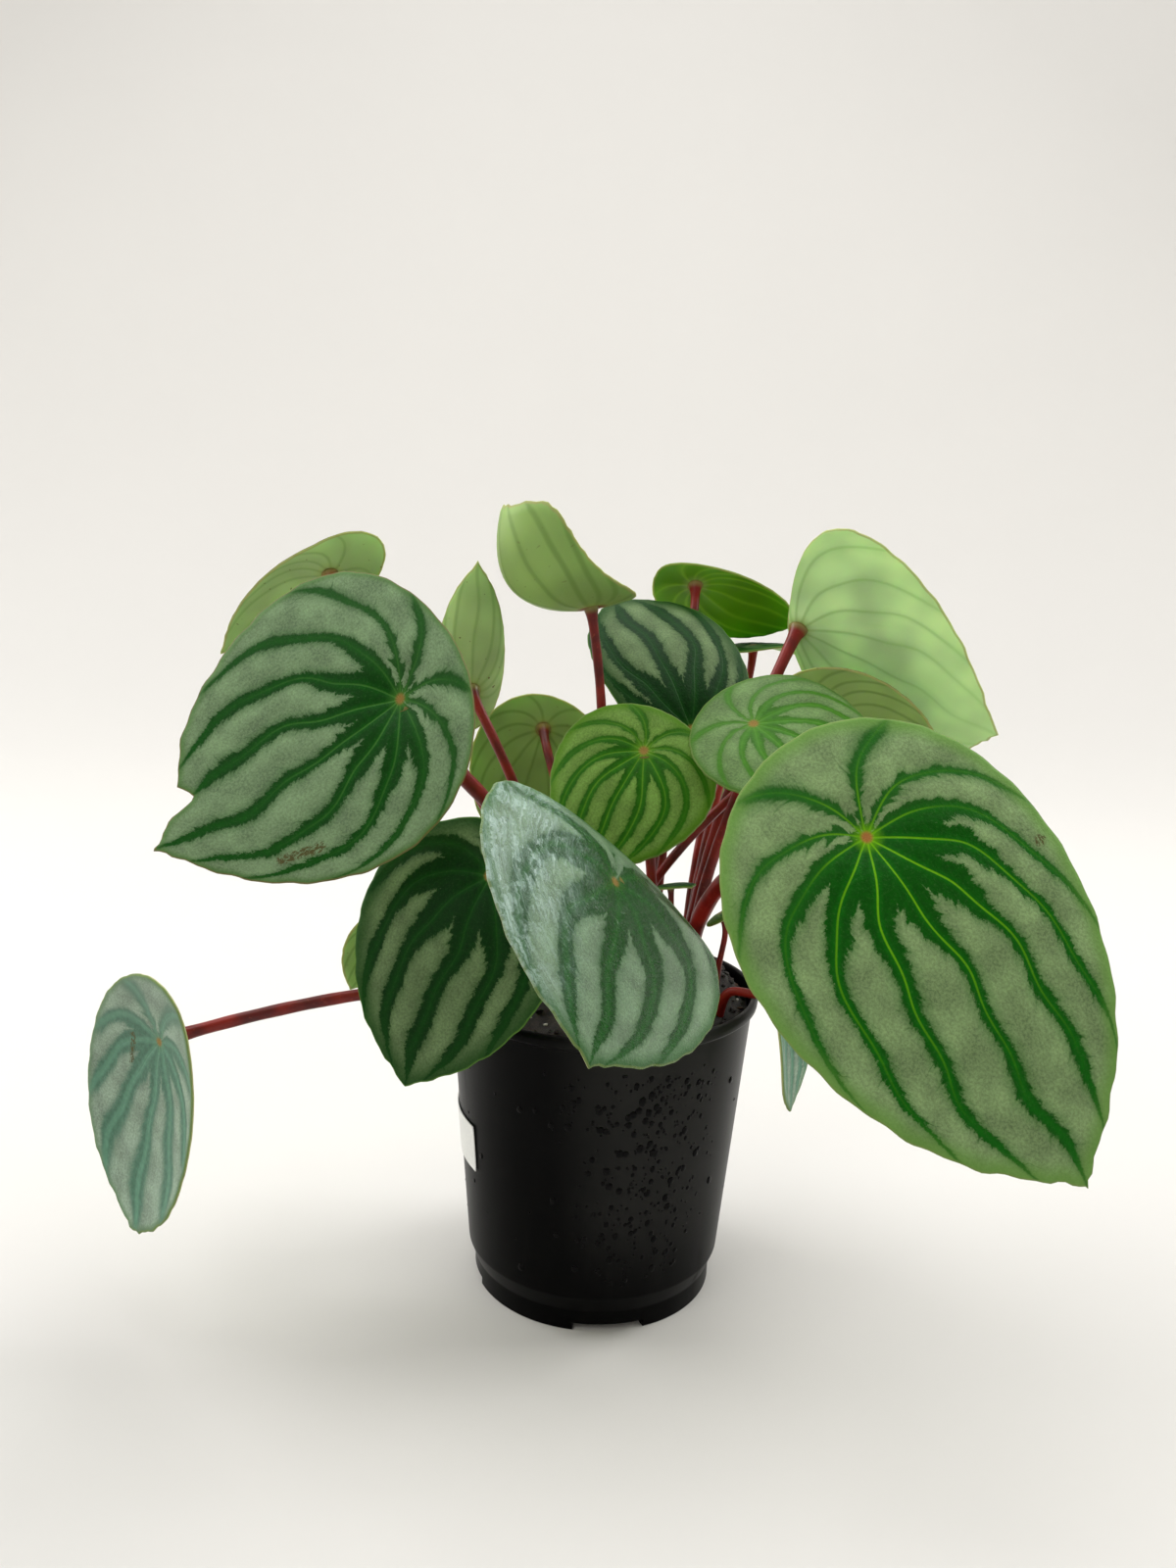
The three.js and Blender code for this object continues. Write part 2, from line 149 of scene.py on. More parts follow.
class Shader:
    """A material whose nodes are added one by one."""

    def __init__(self, name: str) -> None:
        """Starts an empty material.

        Args:
            name: Its name.
        """
        self.material = bpy.data.materials.new(name)
        self.material.use_nodes = True
        self.tree = self.material.node_tree
        self.tree.nodes.clear()

    def add(
        self,
        kind: str,
        settings: dict[str, object] | None = None,
        sockets: dict[str | int, Value] | None = None,
    ) -> bpy.types.Node:
        """Adds a node of any type.

        Args:
            kind: The node's type.
            settings: Its own settings, set before its sockets.
            sockets: Values or links for its inputs, by name or place.

        Returns:
            The node.
        """
        made = self.tree.nodes.new(kind)
        for name, value in (settings or {}).items():
            setattr(made, name, value)
        for key, value in (sockets or {}).items():
            if isinstance(value, Socket):
                self.tree.links.new(value.output, made.inputs[key])
            else:
                made.inputs[key].default_value = value
        return made

    def node(
        self,
        kind: str,
        settings: dict[str, object] | None = None,
        sockets: dict[str | int, Value] | None = None,
        output: str | int = 0,
    ) -> Socket:
        """Adds a node as add does and hands back the output of that name or place."""
        return Socket(self, self.add(kind, settings, sockets).outputs[output])

    def blend(self, first: Value, second: Value, share: Value) -> Socket:
        """Mixes two colours: the first where share is 0, the second where it is 1."""
        sockets = {0: share, 6: first, 7: second}
        return self.node("ShaderNodeMix", {"data_type": "RGBA"}, sockets, 2)

    def vector(self, x: Value = 0.0, y: Value = 0.0, z: Value = 0.0) -> Socket:
        """Three values as one vector."""
        return self.node("ShaderNodeCombineXYZ", None, {0: x, 1: y, 2: z})

    def split(self, vector: Socket) -> list[Socket]:
        """A vector's three values."""
        made = self.add("ShaderNodeSeparateXYZ", None, {0: vector})
        return [Socket(self, output) for output in made.outputs]

    def attribute(self, name: str, output: str = "Vector") -> Socket:
        """Reads a mesh attribute."""
        return self.node("ShaderNodeAttribute", {"attribute_name": name}, None, output)

    def place(self) -> Socket:
        """The point's place in the frame, in metres."""
        return self.node("ShaderNodeTexCoord", None, None, "Object")

    def noise(
        self, vector: Socket, scale: float, detail: float = 2.0, rough: float = 0.5
    ) -> Socket:
        """Adds soft noise.

        Args:
            vector: Where it is read.
            scale: How fine it is.
            detail: How many finer layers it has.
            rough: How strong the finer layers are.

        Returns:
            Its value, from 0 to 1.
        """
        sockets = {"Vector": vector, "Scale": scale, "Detail": detail, "Roughness": rough}
        return self.node("ShaderNodeTexNoise", None, sockets)

    def bump(self, height: Socket, depth: float, strength: float) -> Socket:
        """A normal that follows a height, with the depth in metres."""
        sockets = {"Height": height, "Distance": depth, "Strength": strength}
        return self.node("ShaderNodeBump", None, sockets)

    def finish(self, **sockets: Value | Triple) -> bpy.types.Material:
        """Closes the material with a Principled shader.

        Args:
            sockets: Its inputs, with _ for a space in their names.

        Returns:
            The finished material.
        """
        named = {name.replace("_", " "): value for name, value in sockets.items()}
        surface = self.node("ShaderNodeBsdfPrincipled", None, named)
        self.add("ShaderNodeOutputMaterial", None, {"Surface": surface})
        return self.material


class Finish(Protocol):
    """Anything that a piece can be dressed in."""

    name: str

    def material(self) -> bpy.types.Material:
        """Builds the material."""


_finished: dict[str, bpy.types.Material] = {}


def finish_of(finish: Finish) -> bpy.types.Material:
    """Hands out a finish's material, built the first time that it is asked for.

    Args:
        finish: The finish.

    Returns:
        Its one material.
    """
    if finish.name not in _finished:
        _finished[finish.name] = finish.material()
    return _finished[finish.name]


# ---- Meshes ----


class Slot(Enum):
    """The record's material slots."""

    LEAF = "leaf"
    STALK = "stalk"
    POT = "pot"
    LABEL = "label"
    SOIL = "soil"
    CROWN = "crown"


def mesh_piece(
    name: str,
    points: np.ndarray | Sequence[Sequence[float]],
    faces: Sequence[Sequence[int]],
    *finishes: Finish,
    sharp_over: float | None = None,
) -> bpy.types.Object:
    """Makes a smooth mesh object from points in millimetres.

    Args:
        name: The piece's name.
        points: Its points.
        faces: Its faces, each the places of its points.
        finishes: What it is dressed in.
        sharp_over: The angle in degrees over which an edge stays sharp.

    Returns:
        The object, linked to the scene.
    """
    mesh = bpy.data.meshes.new(name)
    scaled = (np.asarray(points, float) * MM).tolist()
    mesh.from_pydata(scaled, [], [list(face) for face in faces])
    mesh.shade_smooth()
    if sharp_over is not None:
        mesh.set_sharp_from_angle(angle=math.radians(sharp_over))
    for finish in finishes:
        mesh.materials.append(finish_of(finish))
    piece = bpy.data.objects.new(name, mesh)
    bpy.context.scene.collection.objects.link(piece)
    return piece


def weld(piece: bpy.types.Object, sharp_over: float) -> None:
    """Joins doubled points, drops empty faces and turns the faces outwards.

    Args:
        piece: The piece, whose mesh is changed.
        sharp_over: The angle in degrees over which an edge stays sharp.
    """
    touching = 1e-6
    work = bmesh.new()
    work.from_mesh(piece.data)
    bmesh.ops.remove_doubles(work, verts=work.verts, dist=touching)
    bmesh.ops.dissolve_degenerate(work, edges=work.edges, dist=touching)
    bmesh.ops.recalc_face_normals(work, faces=work.faces)
    work.to_mesh(piece.data)
    work.free()
    piece.data.shade_smooth()
    piece.data.set_sharp_from_angle(angle=math.radians(sharp_over))


def settle(piece: bpy.types.Object, slot: Slot, *nodes: str) -> None:
    """Lets a finished piece ride on the plant and stand for its CAD nodes.

    Args:
        piece: The piece, in place.
        slot: The record's material slot; not used.
        nodes: The CAD nodes that it stands for.
    """
    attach(piece, "root")
    if nodes:
        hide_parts(*nodes)
    LOG.info("%s: %d faces", piece.name, len(piece.data.polygons))


def grid_faces(rows: int, columns: int, closed: bool) -> list[Face]:
    """The quads of a grid of points, stored row by row.

    Args:
        rows: How many rows of points there are.
        columns: How many points a row has.
        closed: Whether each row's last point joins its first.

    Returns:
        The quads, each as four places.
    """
    steps = columns if closed else columns - 1
    return [
        (
            row * columns + i,
            row * columns + (i + 1) % columns,
            (row + 1) * columns + (i + 1) % columns,
            (row + 1) * columns + i,
        )
        for row in range(rows - 1)
        for i in range(steps)
    ]


def polar(radius: float, angle: float, height: float) -> Triple:
    """The point at a radius and an angle round the pot's axis, at a height."""
    return (radius * math.cos(angle), radius * math.sin(angle), height)


def unit(vector: np.ndarray) -> np.ndarray:
    """The vector at length 1."""
    return vector / np.linalg.norm(vector)


def unit_rows(rows: np.ndarray) -> np.ndarray:
    """Each row at length 1."""
    return rows / np.maximum(np.linalg.norm(rows, axis=-1, keepdims=True), 1e-9)


def put_corner_vectors(piece: bpy.types.Object, name: str, values: np.ndarray) -> None:
    """Stores a vector at each face corner."""
    made = piece.data.attributes.new(name, "FLOAT_VECTOR", "CORNER")
    made.data.foreach_set("vector", values.astype(np.float32).ravel())


def put_values(piece: bpy.types.Object, name: str, values: np.ndarray) -> None:
    """Stores a number at each point."""
    made = piece.data.attributes.new(name, "FLOAT", "POINT")
    made.data.foreach_set("value", values.astype(np.float32))


# ---- Leaf finishes ----


class BladeMaps:
    """What a blade's mesh tells its finishes at each point."""

    def __init__(self, shade: Shader) -> None:
        """Reads the maps that Leaf.build_blade stores.

        Args:
            shade: The material that reads them.
        """
        self.number, self.from_joint, self.crowding = shade.split(shade.attribute("vein_map"))
        self.ahead, self.aside, self.edge = shade.split(shade.attribute("blade_map"))
        self.outwards, self.blemish, _ = shade.split(shade.attribute("mark_map"))
        self.flat = shade.vector(self.ahead, self.aside)
        self.whole = self.number.rounded()
        self.nearest = abs(self.number - self.whole)
        self.depth = self.nearest / self.crowding


@dataclass(frozen=True)
class StripeHabit:
    """How the green bands grow on every leaf of this plant.

    A width is a share of the way from one vein to the next. A rate is how fast the noise
    changes over a millimetre, or over a centimetre for the fuzz and the grain.

    Attributes:
        lane_gap: How far apart the noise of two neighbouring veins is read.
        side_gap: How far apart it is read on the two sides of a vein.
        slant: How far the spikes lean outwards.
        spike_rate: How close together the long spikes on a band's edge are.
        spike_size: How long they are.
        spike_growth: How much longer they are near the joint.
        tooth_rate: How close together its small teeth are.
        tooth_size: How long these are.
        fuzz_rate: How fine its fuzz is.
        fuzz_size: How far the fuzz reaches.
        grain_rate: How fine the skin's grain is.
        back_veins: Between which vein numbers the bands turn into those of the back.
        back_thinner: How much narrower the back's bands are.
        back_calmer: How much less ragged they are.
        merging: Between which shares of the finish's star the merged bands part.
        merged_width: How much wider the bands are where they merge.
        merged_back_width: How much wider the back's are.
        star_heart: Between which shares of the star its solid heart ends.
        star_width: How much wider the bands are in the heart.
        fading: Between which shares of the way out the bands grow thin.
        fade: How much thinner they grow.
        blur: How soft a band's edge is, outside it and inside.
        shade_reach: How far the darker flesh reaches, outside the edge and inside.
    """

    lane_gap: float = 3.7
    side_gap: float = 1.9
    slant: float = 0.9
    spike_rate: float = 0.26
    spike_size: float = 0.8
    spike_growth: float = 2.4
    tooth_rate: float = 1.7
    tooth_size: float = 1.5
    fuzz_rate: float = 13.0
    fuzz_size: float = 2.4
    grain_rate: float = 13.5
    back_veins: Pair = (2.3, 3.9)
    back_thinner: float = 0.42
    back_calmer: float = 0.4
    merging: Pair = (0.2, 1.3)
    merged_width: float = 0.36
    merged_back_width: float = 0.04
    star_heart: Pair = (0.3, 0.7)
    star_width: float = 0.3
    fading: Pair = (0.86, 1.0)
    fade: float = 0.7
    blur: Pair = (0.045, 0.03)
    shade_reach: Pair = (0.2, 0.02)


HABIT = StripeHabit()


class Bands:
    """The green bands along a blade's veins.

    Attributes:
        band: 1 on a band, 0 off it.
        penumbra: The same for the darker flesh along a band.
        spikes: How spiked a band's edge is, from 0 to 1.
        backwards: 1 on the veins that run back from the joint, 0 on the others.
        lane: A number of its own for each side of each vein.
        origin: How far from the joint the spike through a place starts.
    """

    def __init__(self, shade: Shader, maps: BladeMaps, finish: UpperFinish) -> None:
        """Works out where the bands end: they merge to a star at the joint and fray outwards.

        Args:
            shade: The material that the masks belong to.
            maps: The blade's maps.
            finish: The finish, for the bands' share, star, softness and fray.
        """
        low, high = HABIT.back_veins
        self.backwards = abs(maps.number).ramp(low, high)
        side = (maps.number - maps.whole).ramp(-0.01, 0.01)
        self.lane = maps.whole * HABIT.lane_gap + side * HABIT.side_gap
        self.origin = maps.from_joint - maps.depth * HABIT.slant
        spiky = shade.vector(self.lane, self.origin * HABIT.spike_rate)
        self.spikes = shade.noise(spiky, 1.0, 2.0, 0.6).ramp(0.4, 0.75)
        toothed = shade.vector(self.lane, self.origin * HABIT.tooth_rate, maps.nearest * 3)
        teeth = shade.noise(toothed, 1.0, 3.0, 0.75) - 0.5
        fuzz = shade.noise(maps.flat, HABIT.fuzz_rate, 2.0, 0.8) - 0.5

        low, high = (finish.star * share for share in HABIT.merging)
        close = 1 - maps.from_joint.ramp(low, high)
        low, high = (finish.star * share for share in HABIT.star_heart)
        heart = (1 - maps.from_joint.ramp(low, high)) * (1 - self.backwards)
        limit = finish.band_share * (1 - self.backwards * HABIT.back_thinner)
        limit = limit + close * (1 - self.backwards) * HABIT.merged_width
        limit = limit + close * HABIT.merged_back_width + heart * HABIT.star_width
        frayed = self.spikes * (HABIT.spike_size + close * HABIT.spike_growth)
        frayed = frayed + teeth * (HABIT.tooth_size + close * HABIT.tooth_size)
        frayed = frayed + fuzz * HABIT.fuzz_size
        calmed = 1 - self.backwards * HABIT.back_calmer
        limit = limit + frayed * maps.crowding * calmed * finish.fray
        low, high = HABIT.fading
        limit = limit * (1 - maps.outwards.ramp(low, high) * HABIT.fade)

        inside = limit - maps.nearest
        before, after = HABIT.blur
        self.band = inside.ramp(-before * finish.softness, after * finish.softness)
        before, after = HABIT.shade_reach
        self.penumbra = inside.ramp(-before, after)


@dataclass(frozen=True)
class UpperFinish:
    """The striped upper side: green bands along the veins on paler flesh.

    Attributes:
        name: The material's name.
        silver: The flesh between the bands.
        band: The bands at their darkest.
        margin: The plain green along the margin.
        vein_line: The fine lines on the veins.
        band_share: A band's half width as a share of the way to the next vein.
        line_strength: How clear the fine lines are.
        line_reach: How far from the joint they run, in millimetres.
        margin_width: How wide the plain margin is, in millimetres.
        spot: The scar where the stalk joins.
        star: How far from the joint the bands stay merged, in millimetres.
        softness: How blurred the bands' edges are.
        rim: The dry line round the blade.
        roughness: The skin's roughness.
        gloss: The skin's reflection.
        creased: How deep its creases are.
        fray: How ragged the bands' edges are.
        streaked: How deep the streaks are, or 0 where there is no painted sheen.
        painted_sheen: The pale colour of the painted sheen streaked over the right half.
        scar: The dry marks.
    """

    name: str
    silver: Triple
    band: Triple
    margin: Triple
    vein_line: Triple
    band_share: float = 0.11
    line_strength: float = 0.25
    line_reach: float = 60.0
    margin_width: float = 2.5
    spot: Triple = (150, 120, 60)
    star: float = 18.0
    softness: float = 1.0
    rim: Triple = (120, 140, 76)
    roughness: float = 0.42
    gloss: float = 0.1
    creased: float = 0.8
    fray: float = 1.0
    streaked: float = 0.0
    painted_sheen: Triple = (182, 208, 198)
    scar: Triple = (84, 80, 46)

    def flesh(self, shade: Shader, maps: BladeMaps, bands: Bands, grain: Socket) -> Socket:
        """The pale flesh between the bands, darker along them, with fine twigs in it.

        Args:
            shade: The material.
            maps: The blade's maps.
            bands: The blade's bands.
            grain: The skin's fine grain.

        Returns:
            Its colour.
        """
        mottle = shade.noise(maps.flat, 1.1, 3.0).ramp(0.25, 0.75)
        light, dark = tinted(self.silver, 1.17, 9), tinted(self.silver, 0.74)
        flesh = shade.blend(dark, light, grain.ramp(0.3, 0.7) * 0.44 + mottle * 0.46 + 0.04)
        flesh = shade.blend(flesh, self.shaded(), bands.penumbra * 0.6)
        branch = bands.origin * 0.21 + shade.noise(maps.flat, 2.2, 2.0) * 1.2 + bands.lane
        twig = 1 - abs(branch - branch.rounded()).ramp(0.012, 0.05)
        twig = twig * (1 - maps.nearest.ramp(0.16, 0.46)) * bands.spikes * 0.7
        return shade.blend(flesh, srgb(*self.band), twig)

    def shaded(self) -> Colour:
        """The green halfway between the bands and the flesh."""
        return srgb(*(part * 0.45 + other * 0.55 for part, other in zip(self.band, self.silver)))

    def stripe(self, shade: Shader, maps: BladeMaps, bands: Bands, grain: Socket) -> Socket:
        """The bands' green, brighter along the vein.

        Args:
            shade: The material.
            maps: The blade's maps.
            bands: The blade's bands.
            grain: The skin's fine grain.

        Returns:
            Its colour.
        """
        cloud = shade.noise(maps.flat, 6.0, 3.0).ramp(0.35, 0.75)
        middle = (1 - maps.depth.ramp(0.3, 1.8)) * 0.6 + cloud * 0.4
        stripe = shade.blend(srgb(*self.band), tinted(self.band, 1.3, 4), middle)
        worn = grain.ramp(0.5, 0.72) * 0.25 + bands.backwards * 0.25
        return shade.blend(stripe, self.shaded(), worn)

    def lines(self, maps: BladeMaps) -> Socket:
        """The veins' fine pale lines, which fade outwards and towards the back.

        Args:
            maps: The blade's maps.

        Returns:
            Their mask.
        """
        line = 1 - maps.depth.ramp(0.08, 0.4)
        line = line * (1 - maps.from_joint.ramp(self.line_reach * 0.2, self.line_reach))
        lost = 0.35 + maps.from_joint.ramp(6, 22) * 0.55
        return line * (1 - abs(maps.number).ramp(1.1, 3.3) * lost)

    def worn(self, shade: Shader, maps: BladeMaps, colour: Socket) -> Socket:
        """Adds the joint's spot, the dry rim and the scars.

        Args:
            shade: The material.
            maps: The blade's maps.
            colour: The colour so far.

        Returns:
            The colour with them.
        """
        halo = (1 - maps.from_joint.ramp(1.2, 5.0)) * (0.2 + self.line_strength * 0.6)
        colour = shade.blend(colour, srgb(*self.vein_line), halo)
        colour = shade.blend(colour, srgb(*self.spot), 1 - maps.from_joint.ramp(0.8, 2.2))
        colour = shade.blend(colour, srgb(*self.rim), (1 - maps.edge.ramp(0.1, 0.4)) * 0.7)
        scratch = shade.noise(shade.vector(maps.ahead, maps.aside * 2.4), 7.0, 3.0, 0.75)
        dry = maps.blemish * (scratch.ramp(0.42, 0.56) + maps.blemish.ramp(0.75, 1.0) * 0.5)
        return shade.blend(colour, srgb(*self.scar), dry.ramp(0.25, 0.6))

    def material(self) -> bpy.types.Material:
        """Builds the material from the blade's own maps.

        Returns:
            The material.
        """
        shade = Shader(self.name)
        maps = BladeMaps(shade)
        bands = Bands(shade, maps, self)
        grain = shade.noise(maps.flat, HABIT.grain_rate, 2.0, 0.8)
        flesh = self.flesh(shade, maps, bands, grain)
        colour = shade.blend(flesh, self.stripe(shade, maps, bands, grain), bands.band)
        rim_zone = (1 - maps.edge.ramp(0.1, self.margin_width)) * (1 - bands.band * 0.6)
        colour = shade.blend(colour, srgb(*self.margin), rim_zone * 0.85)
        line = self.lines(maps)
        colour = shade.blend(colour, srgb(*self.vein_line), line * self.line_strength)
        colour = self.worn(shade, maps, colour)

        creases = shade.noise(shade.vector(maps.ahead * 1.2, maps.aside * 0.8), 6.5, 3.0, 0.6)
        relief = grain * 0.6 + creases * self.creased - line * 0.4 - bands.band * 0.2
        roughness = self.roughness + grain * 0.14 - bands.band * 0.06
        if self.streaked:
            patches = shade.noise(maps.flat, 1.5, 3.0, 0.6)
            aside, away = maps.number * 2.6 + patches * 4, maps.from_joint * 0.9 + patches * 9
            streaks = shade.noise(shade.vector(aside, away), 1.0, 4.0, 0.75).ramp(0.36, 0.64)
            relief = relief + streaks * self.streaked
            roughness = roughness + (0.5 - streaks) * 0.14
            # Painted sheen: a pale streaked colour laid over the right half in place of a reflection.
            painted_sheen = (maps.aside * -1).ramp(0.4, 3.4) * (0.15 + streaks * 0.85)
            painted_sheen = painted_sheen * (0.25 + patches.ramp(0.36, 0.62) * 0.75)
            colour = shade.blend(colour, srgb(*self.painted_sheen), painted_sheen * 0.85)
        return shade.finish(
            Base_Color=colour,
            Roughness=roughness,
            Normal=shade.bump(relief, 0.0004, 0.5),
            Specular_IOR_Level=self.gloss,
            Subsurface_Weight=0.1,
            Subsurface_Radius=(0.5, 0.9, 0.2),
            Subsurface_Scale=0.001,
        )


@dataclass(frozen=True)
class LowerFinish:
    """The plain underside, on which the veins only just show.

    Attributes:
        name: The material's name.
        flesh: The underside's green.
        vein: The veins' green.
        vein_strength: How clear the veins are.
        ghost: How much the upper side's bands show through.
        specks: How many brown specks there are, from 0 to 1.
        glow: How much light passes under the skin.
        collar: The ring round the stalk.
        spot: Where the stalk joins.
        rim: The dry line round the blade.
        speck: The specks.
    """

    name: str
    flesh: Triple
    vein: Triple
    vein_strength: float = 0.5
    ghost: float = 0.2
    specks: float = 0.0
    glow: float = 0.6
    collar: Triple = (150, 165, 85)
    spot: Triple = (130, 70, 45)
    rim: Triple = (160, 140, 95)
    speck: Triple = (92, 62, 38)

    def material(self) -> bpy.types.Material:
        """Builds the material from the blade's own maps.

        Returns:
            The material.
        """
        shade = Shader(self.name)
        maps = BladeMaps(shade)
        mottle = shade.noise(maps.flat, 0.6, 1.0)
        grain = shade.noise(maps.flat, 30.0, 2.0, 0.7)
        light, dark = tinted(self.flesh, 1.06, 4), tinted(self.flesh, 0.92)
        colour = shade.blend(dark, light, mottle.ramp(0.25, 0.75))
        colour = shade.blend(colour, light, grain.ramp(0.5, 0.75) * 0.3)
        fringed = shade.vector(maps.number * 2.0, maps.from_joint * 0.5)
        fringe = shade.noise(fringed, 1.0, 3.0) - 0.5
        through = (0.13 - maps.nearest + fringe * 0.12).ramp(-0.1, 0.1)
        colour = shade.blend(colour, srgb(*self.vein), through * self.ghost)
        line = (1 - maps.depth.ramp(0.15, 0.8)) * (1 - maps.from_joint.ramp(20, 80) * 0.6)
        colour = shade.blend(colour, srgb(*self.vein), line * self.vein_strength)
        collar = 1 - maps.from_joint.ramp(2.0, 6.0)
        colour = shade.blend(colour, srgb(*self.collar), collar * 0.6)
        colour = shade.blend(colour, srgb(*self.spot), 1 - maps.from_joint.ramp(1.8, 3.4))
        colour = shade.blend(colour, srgb(*self.rim), (1 - maps.edge.ramp(0.2, 0.6)) * 0.6)
        speck = shade.noise(maps.flat, 6.0, 1.0).ramp(0.72, 0.76) * self.specks
        colour = shade.blend(colour, srgb(*self.speck), speck)
        return shade.finish(
            Base_Color=colour,
            Roughness=0.46 + grain * 0.12,
            Normal=shade.bump(grain * 0.4 + line * 0.6, 0.0003, 0.3),
            Specular_IOR_Level=0.25,
            Subsurface_Weight=self.glow,
            Subsurface_Radius=(0.6, 1.0, 0.2),
            Subsurface_Scale=0.0025,
        )


SILVER = UpperFinish(
    "leaf_silver", silver=(113, 139, 100), band=(3, 58, 0), margin=(80, 120, 58),
    vein_line=(84, 144, 56), band_share=0.12, line_strength=0.4, star=24,
    rim=(120, 104, 66), gloss=0.12,
)
COOL = UpperFinish(
    "leaf_cool_silver", silver=(136, 156, 136), band=(76, 112, 92), margin=(100, 132, 96),
    vein_line=(104, 136, 92), band_share=0.2, line_strength=0.05, softness=2.5,
)
# Its streaks also carry a painted sheen on the right half.
GLOSSY = UpperFinish(
    "leaf_glossy_silver", silver=(112, 138, 108), band=(8, 64, 6), margin=(52, 104, 48),
    vein_line=(80, 130, 50), band_share=0.17, line_strength=0.1, margin_width=5, star=26,
    roughness=0.28, gloss=0.22, creased=0.7, streaked=0.9,
)
DEEP = UpperFinish(
    "leaf_deep", silver=(92, 114, 74), band=(0, 42, 0), margin=(10, 62, 2),
    vein_line=(50, 110, 30), band_share=0.18, line_strength=0.15, margin_width=8, star=24,
    rim=(90, 130, 50),
)
FRESH = UpperFinish(
    "leaf_fresh", silver=(104, 140, 60), band=(28, 80, 0), margin=(78, 128, 12),
    vein_line=(116, 165, 40), band_share=0.18, line_strength=0.4, margin_width=4, star=13,
    fray=0.5,
)
MILD = UpperFinish(
    "leaf_mild", silver=(104, 134, 80), band=(50, 98, 20), margin=(74, 118, 42),
    vein_line=(100, 150, 56), band_share=0.13, line_strength=0.3, star=12, fray=0.4,
)
BROAD = UpperFinish(
    "leaf_broad", silver=(120, 146, 96), band=(4, 74, 0), margin=(106, 152, 66),
    vein_line=(124, 196, 10), band_share=0.1, line_strength=0.7, line_reach=75,
    margin_width=5.5, spot=(176, 118, 62), star=30,
)

PALE = LowerFinish("underside_pale", (196, 214, 164), (142, 176, 104), 0.35, ghost=0.14)
LIGHT = LowerFinish(
    "underside_light", (160, 180, 122), (114, 144, 72), 0.35, ghost=0.1, specks=0.8
)
OLIVE = LowerFinish("underside_olive", (138, 164, 92), (96, 126, 54), 0.4, ghost=0.15, specks=0.3)
VIVID = LowerFinish("underside_vivid", (88, 138, 2), (132, 172, 34), 0.35, ghost=0.3, glow=0.8)


# ---- Other finishes ----


@dataclass(frozen=True)
class StalkRed:
    """The smooth red skin of a leaf stalk, greener just under the blade."""

    name: str = "stalk_red"
    skin: Triple = (134, 28, 18)
    shadow: Triple = (84, 14, 10)
    fleck: Triple = (156, 62, 42)
    collar: Triple = (142, 150, 80)

    def material(self) -> bpy.types.Material:
        """Builds the material.

        Returns:
            The material.
        """
        shade = Shader(self.name)
        place = shade.place()
        below = shade.attribute("below_blade", "Fac")
        broad = shade.noise(place, 90, 2)
        fine = shade.noise(place, 900, 2, 0.7)
        colour = shade.blend(srgb(*self.shadow), srgb(*self.skin), broad.ramp(0.3, 0.62))
        colour = shade.blend(colour, srgb(*self.fleck), fine.ramp(0.6, 0.72) * 0.5)
        colour = shade.blend(colour, srgb(*self.collar), (1 - below.ramp(0.3, 2.6)) * 0.6)
        return shade.finish(
            Base_Color=colour,
            Roughness=0.3 + fine * 0.15,
            Normal=shade.bump(fine, 0.0002, 0.3),
            Specular_IOR_Level=0.3,
            Coat_Weight=0.08,
            Coat_Roughness=0.2,
            Subsurface_Weight=0.1,
            Subsurface_Radius=(1.0, 0.3, 0.2),
            Subsurface_Scale=0.0015,
        )


@dataclass(frozen=True)
class PotBlack:
    """Thin black plastic with faint dried water marks, and a lighter zone right of the front that is
    partly mist and partly a painted sheen.
    """

    name: str = "pot_black"
    base: Triple = (2, 2, 2)
    dust_and_sheen: Triple = (60, 60, 58)
    mist_and_sheen_turn: float = math.radians(-55)
    film_share: float = 0.12
    speck_share: float = 0.06
    mist_and_sheen_share: float = 0.5

    def material(self) -> bpy.types.Material:
        """Builds the material.

        Returns:
            The material.
        """
        shade = Shader(self.name)
        x, y, z = shade.split(shade.place())
        streak = shade.noise(shade.vector(x * 160, y * 160, z * 14), 1.0, 3, 0.6)
        cloud = shade.noise(shade.place(), 38, 3)
        fine = shade.noise(shade.place(), 1400, 2, 0.7)
        film = streak.ramp(0.52, 0.8) * cloud.ramp(0.4, 0.7)
        # Lighter zone right of the front: partly a mist film, partly a painted sheen that brightens
        # the wall there.
        towards = (x * math.cos(self.mist_and_sheen_turn) + y * math.sin(self.mist_and_sheen_turn)) * 20
        mist_and_sheen = towards.ramp(0.55, 0.98) * (0.6 + cloud * 0.5) * z.ramp(0.01, 0.05)
        # The marks take in that zone, so besides real water marks and specks they carry painted sheen.
        marks = film * self.film_share + fine.ramp(0.66, 0.74) * self.speck_share
        marks = marks + mist_and_sheen * self.mist_and_sheen_share
        ridge = shade.noise(shade.vector(0.0, 0.0, z * 900), 1.0, 2)
        return shade.finish(
            Base_Color=shade.blend(srgb(*self.base), srgb(*self.dust_and_sheen), marks),
            Roughness=0.27 + film * 0.2 + cloud * 0.12,
            Normal=shade.bump(fine * 0.4 + ridge * 0.5 + cloud, 0.00015, 0.25),
            Specular_IOR_Level=0.05,
        )


@dataclass(frozen=True)
class LabelPaper:
    """Bare white coated paper."""

    name: str = "label_paper"
    base: Triple = (236, 236, 234)

    def material(self) -> bpy.types.Material:
        """Builds the material.

        Returns:
            The material.
        """
        shade = Shader(self.name)
        fibre = shade.noise(shade.place(), 1500, 3, 0.7)
        soft = shade.noise(shade.place(), 90, 2)
        share = fibre.ramp(0.35, 0.6) * 0.5 + soft * 0.5
        return shade.finish(
            Base_Color=shade.blend(tinted(self.base, 0.93), srgb(*self.base), share),
            Roughness=0.5 + fibre * 0.15,
            Normal=shade.bump(fibre, 0.0001, 0.2),
        )


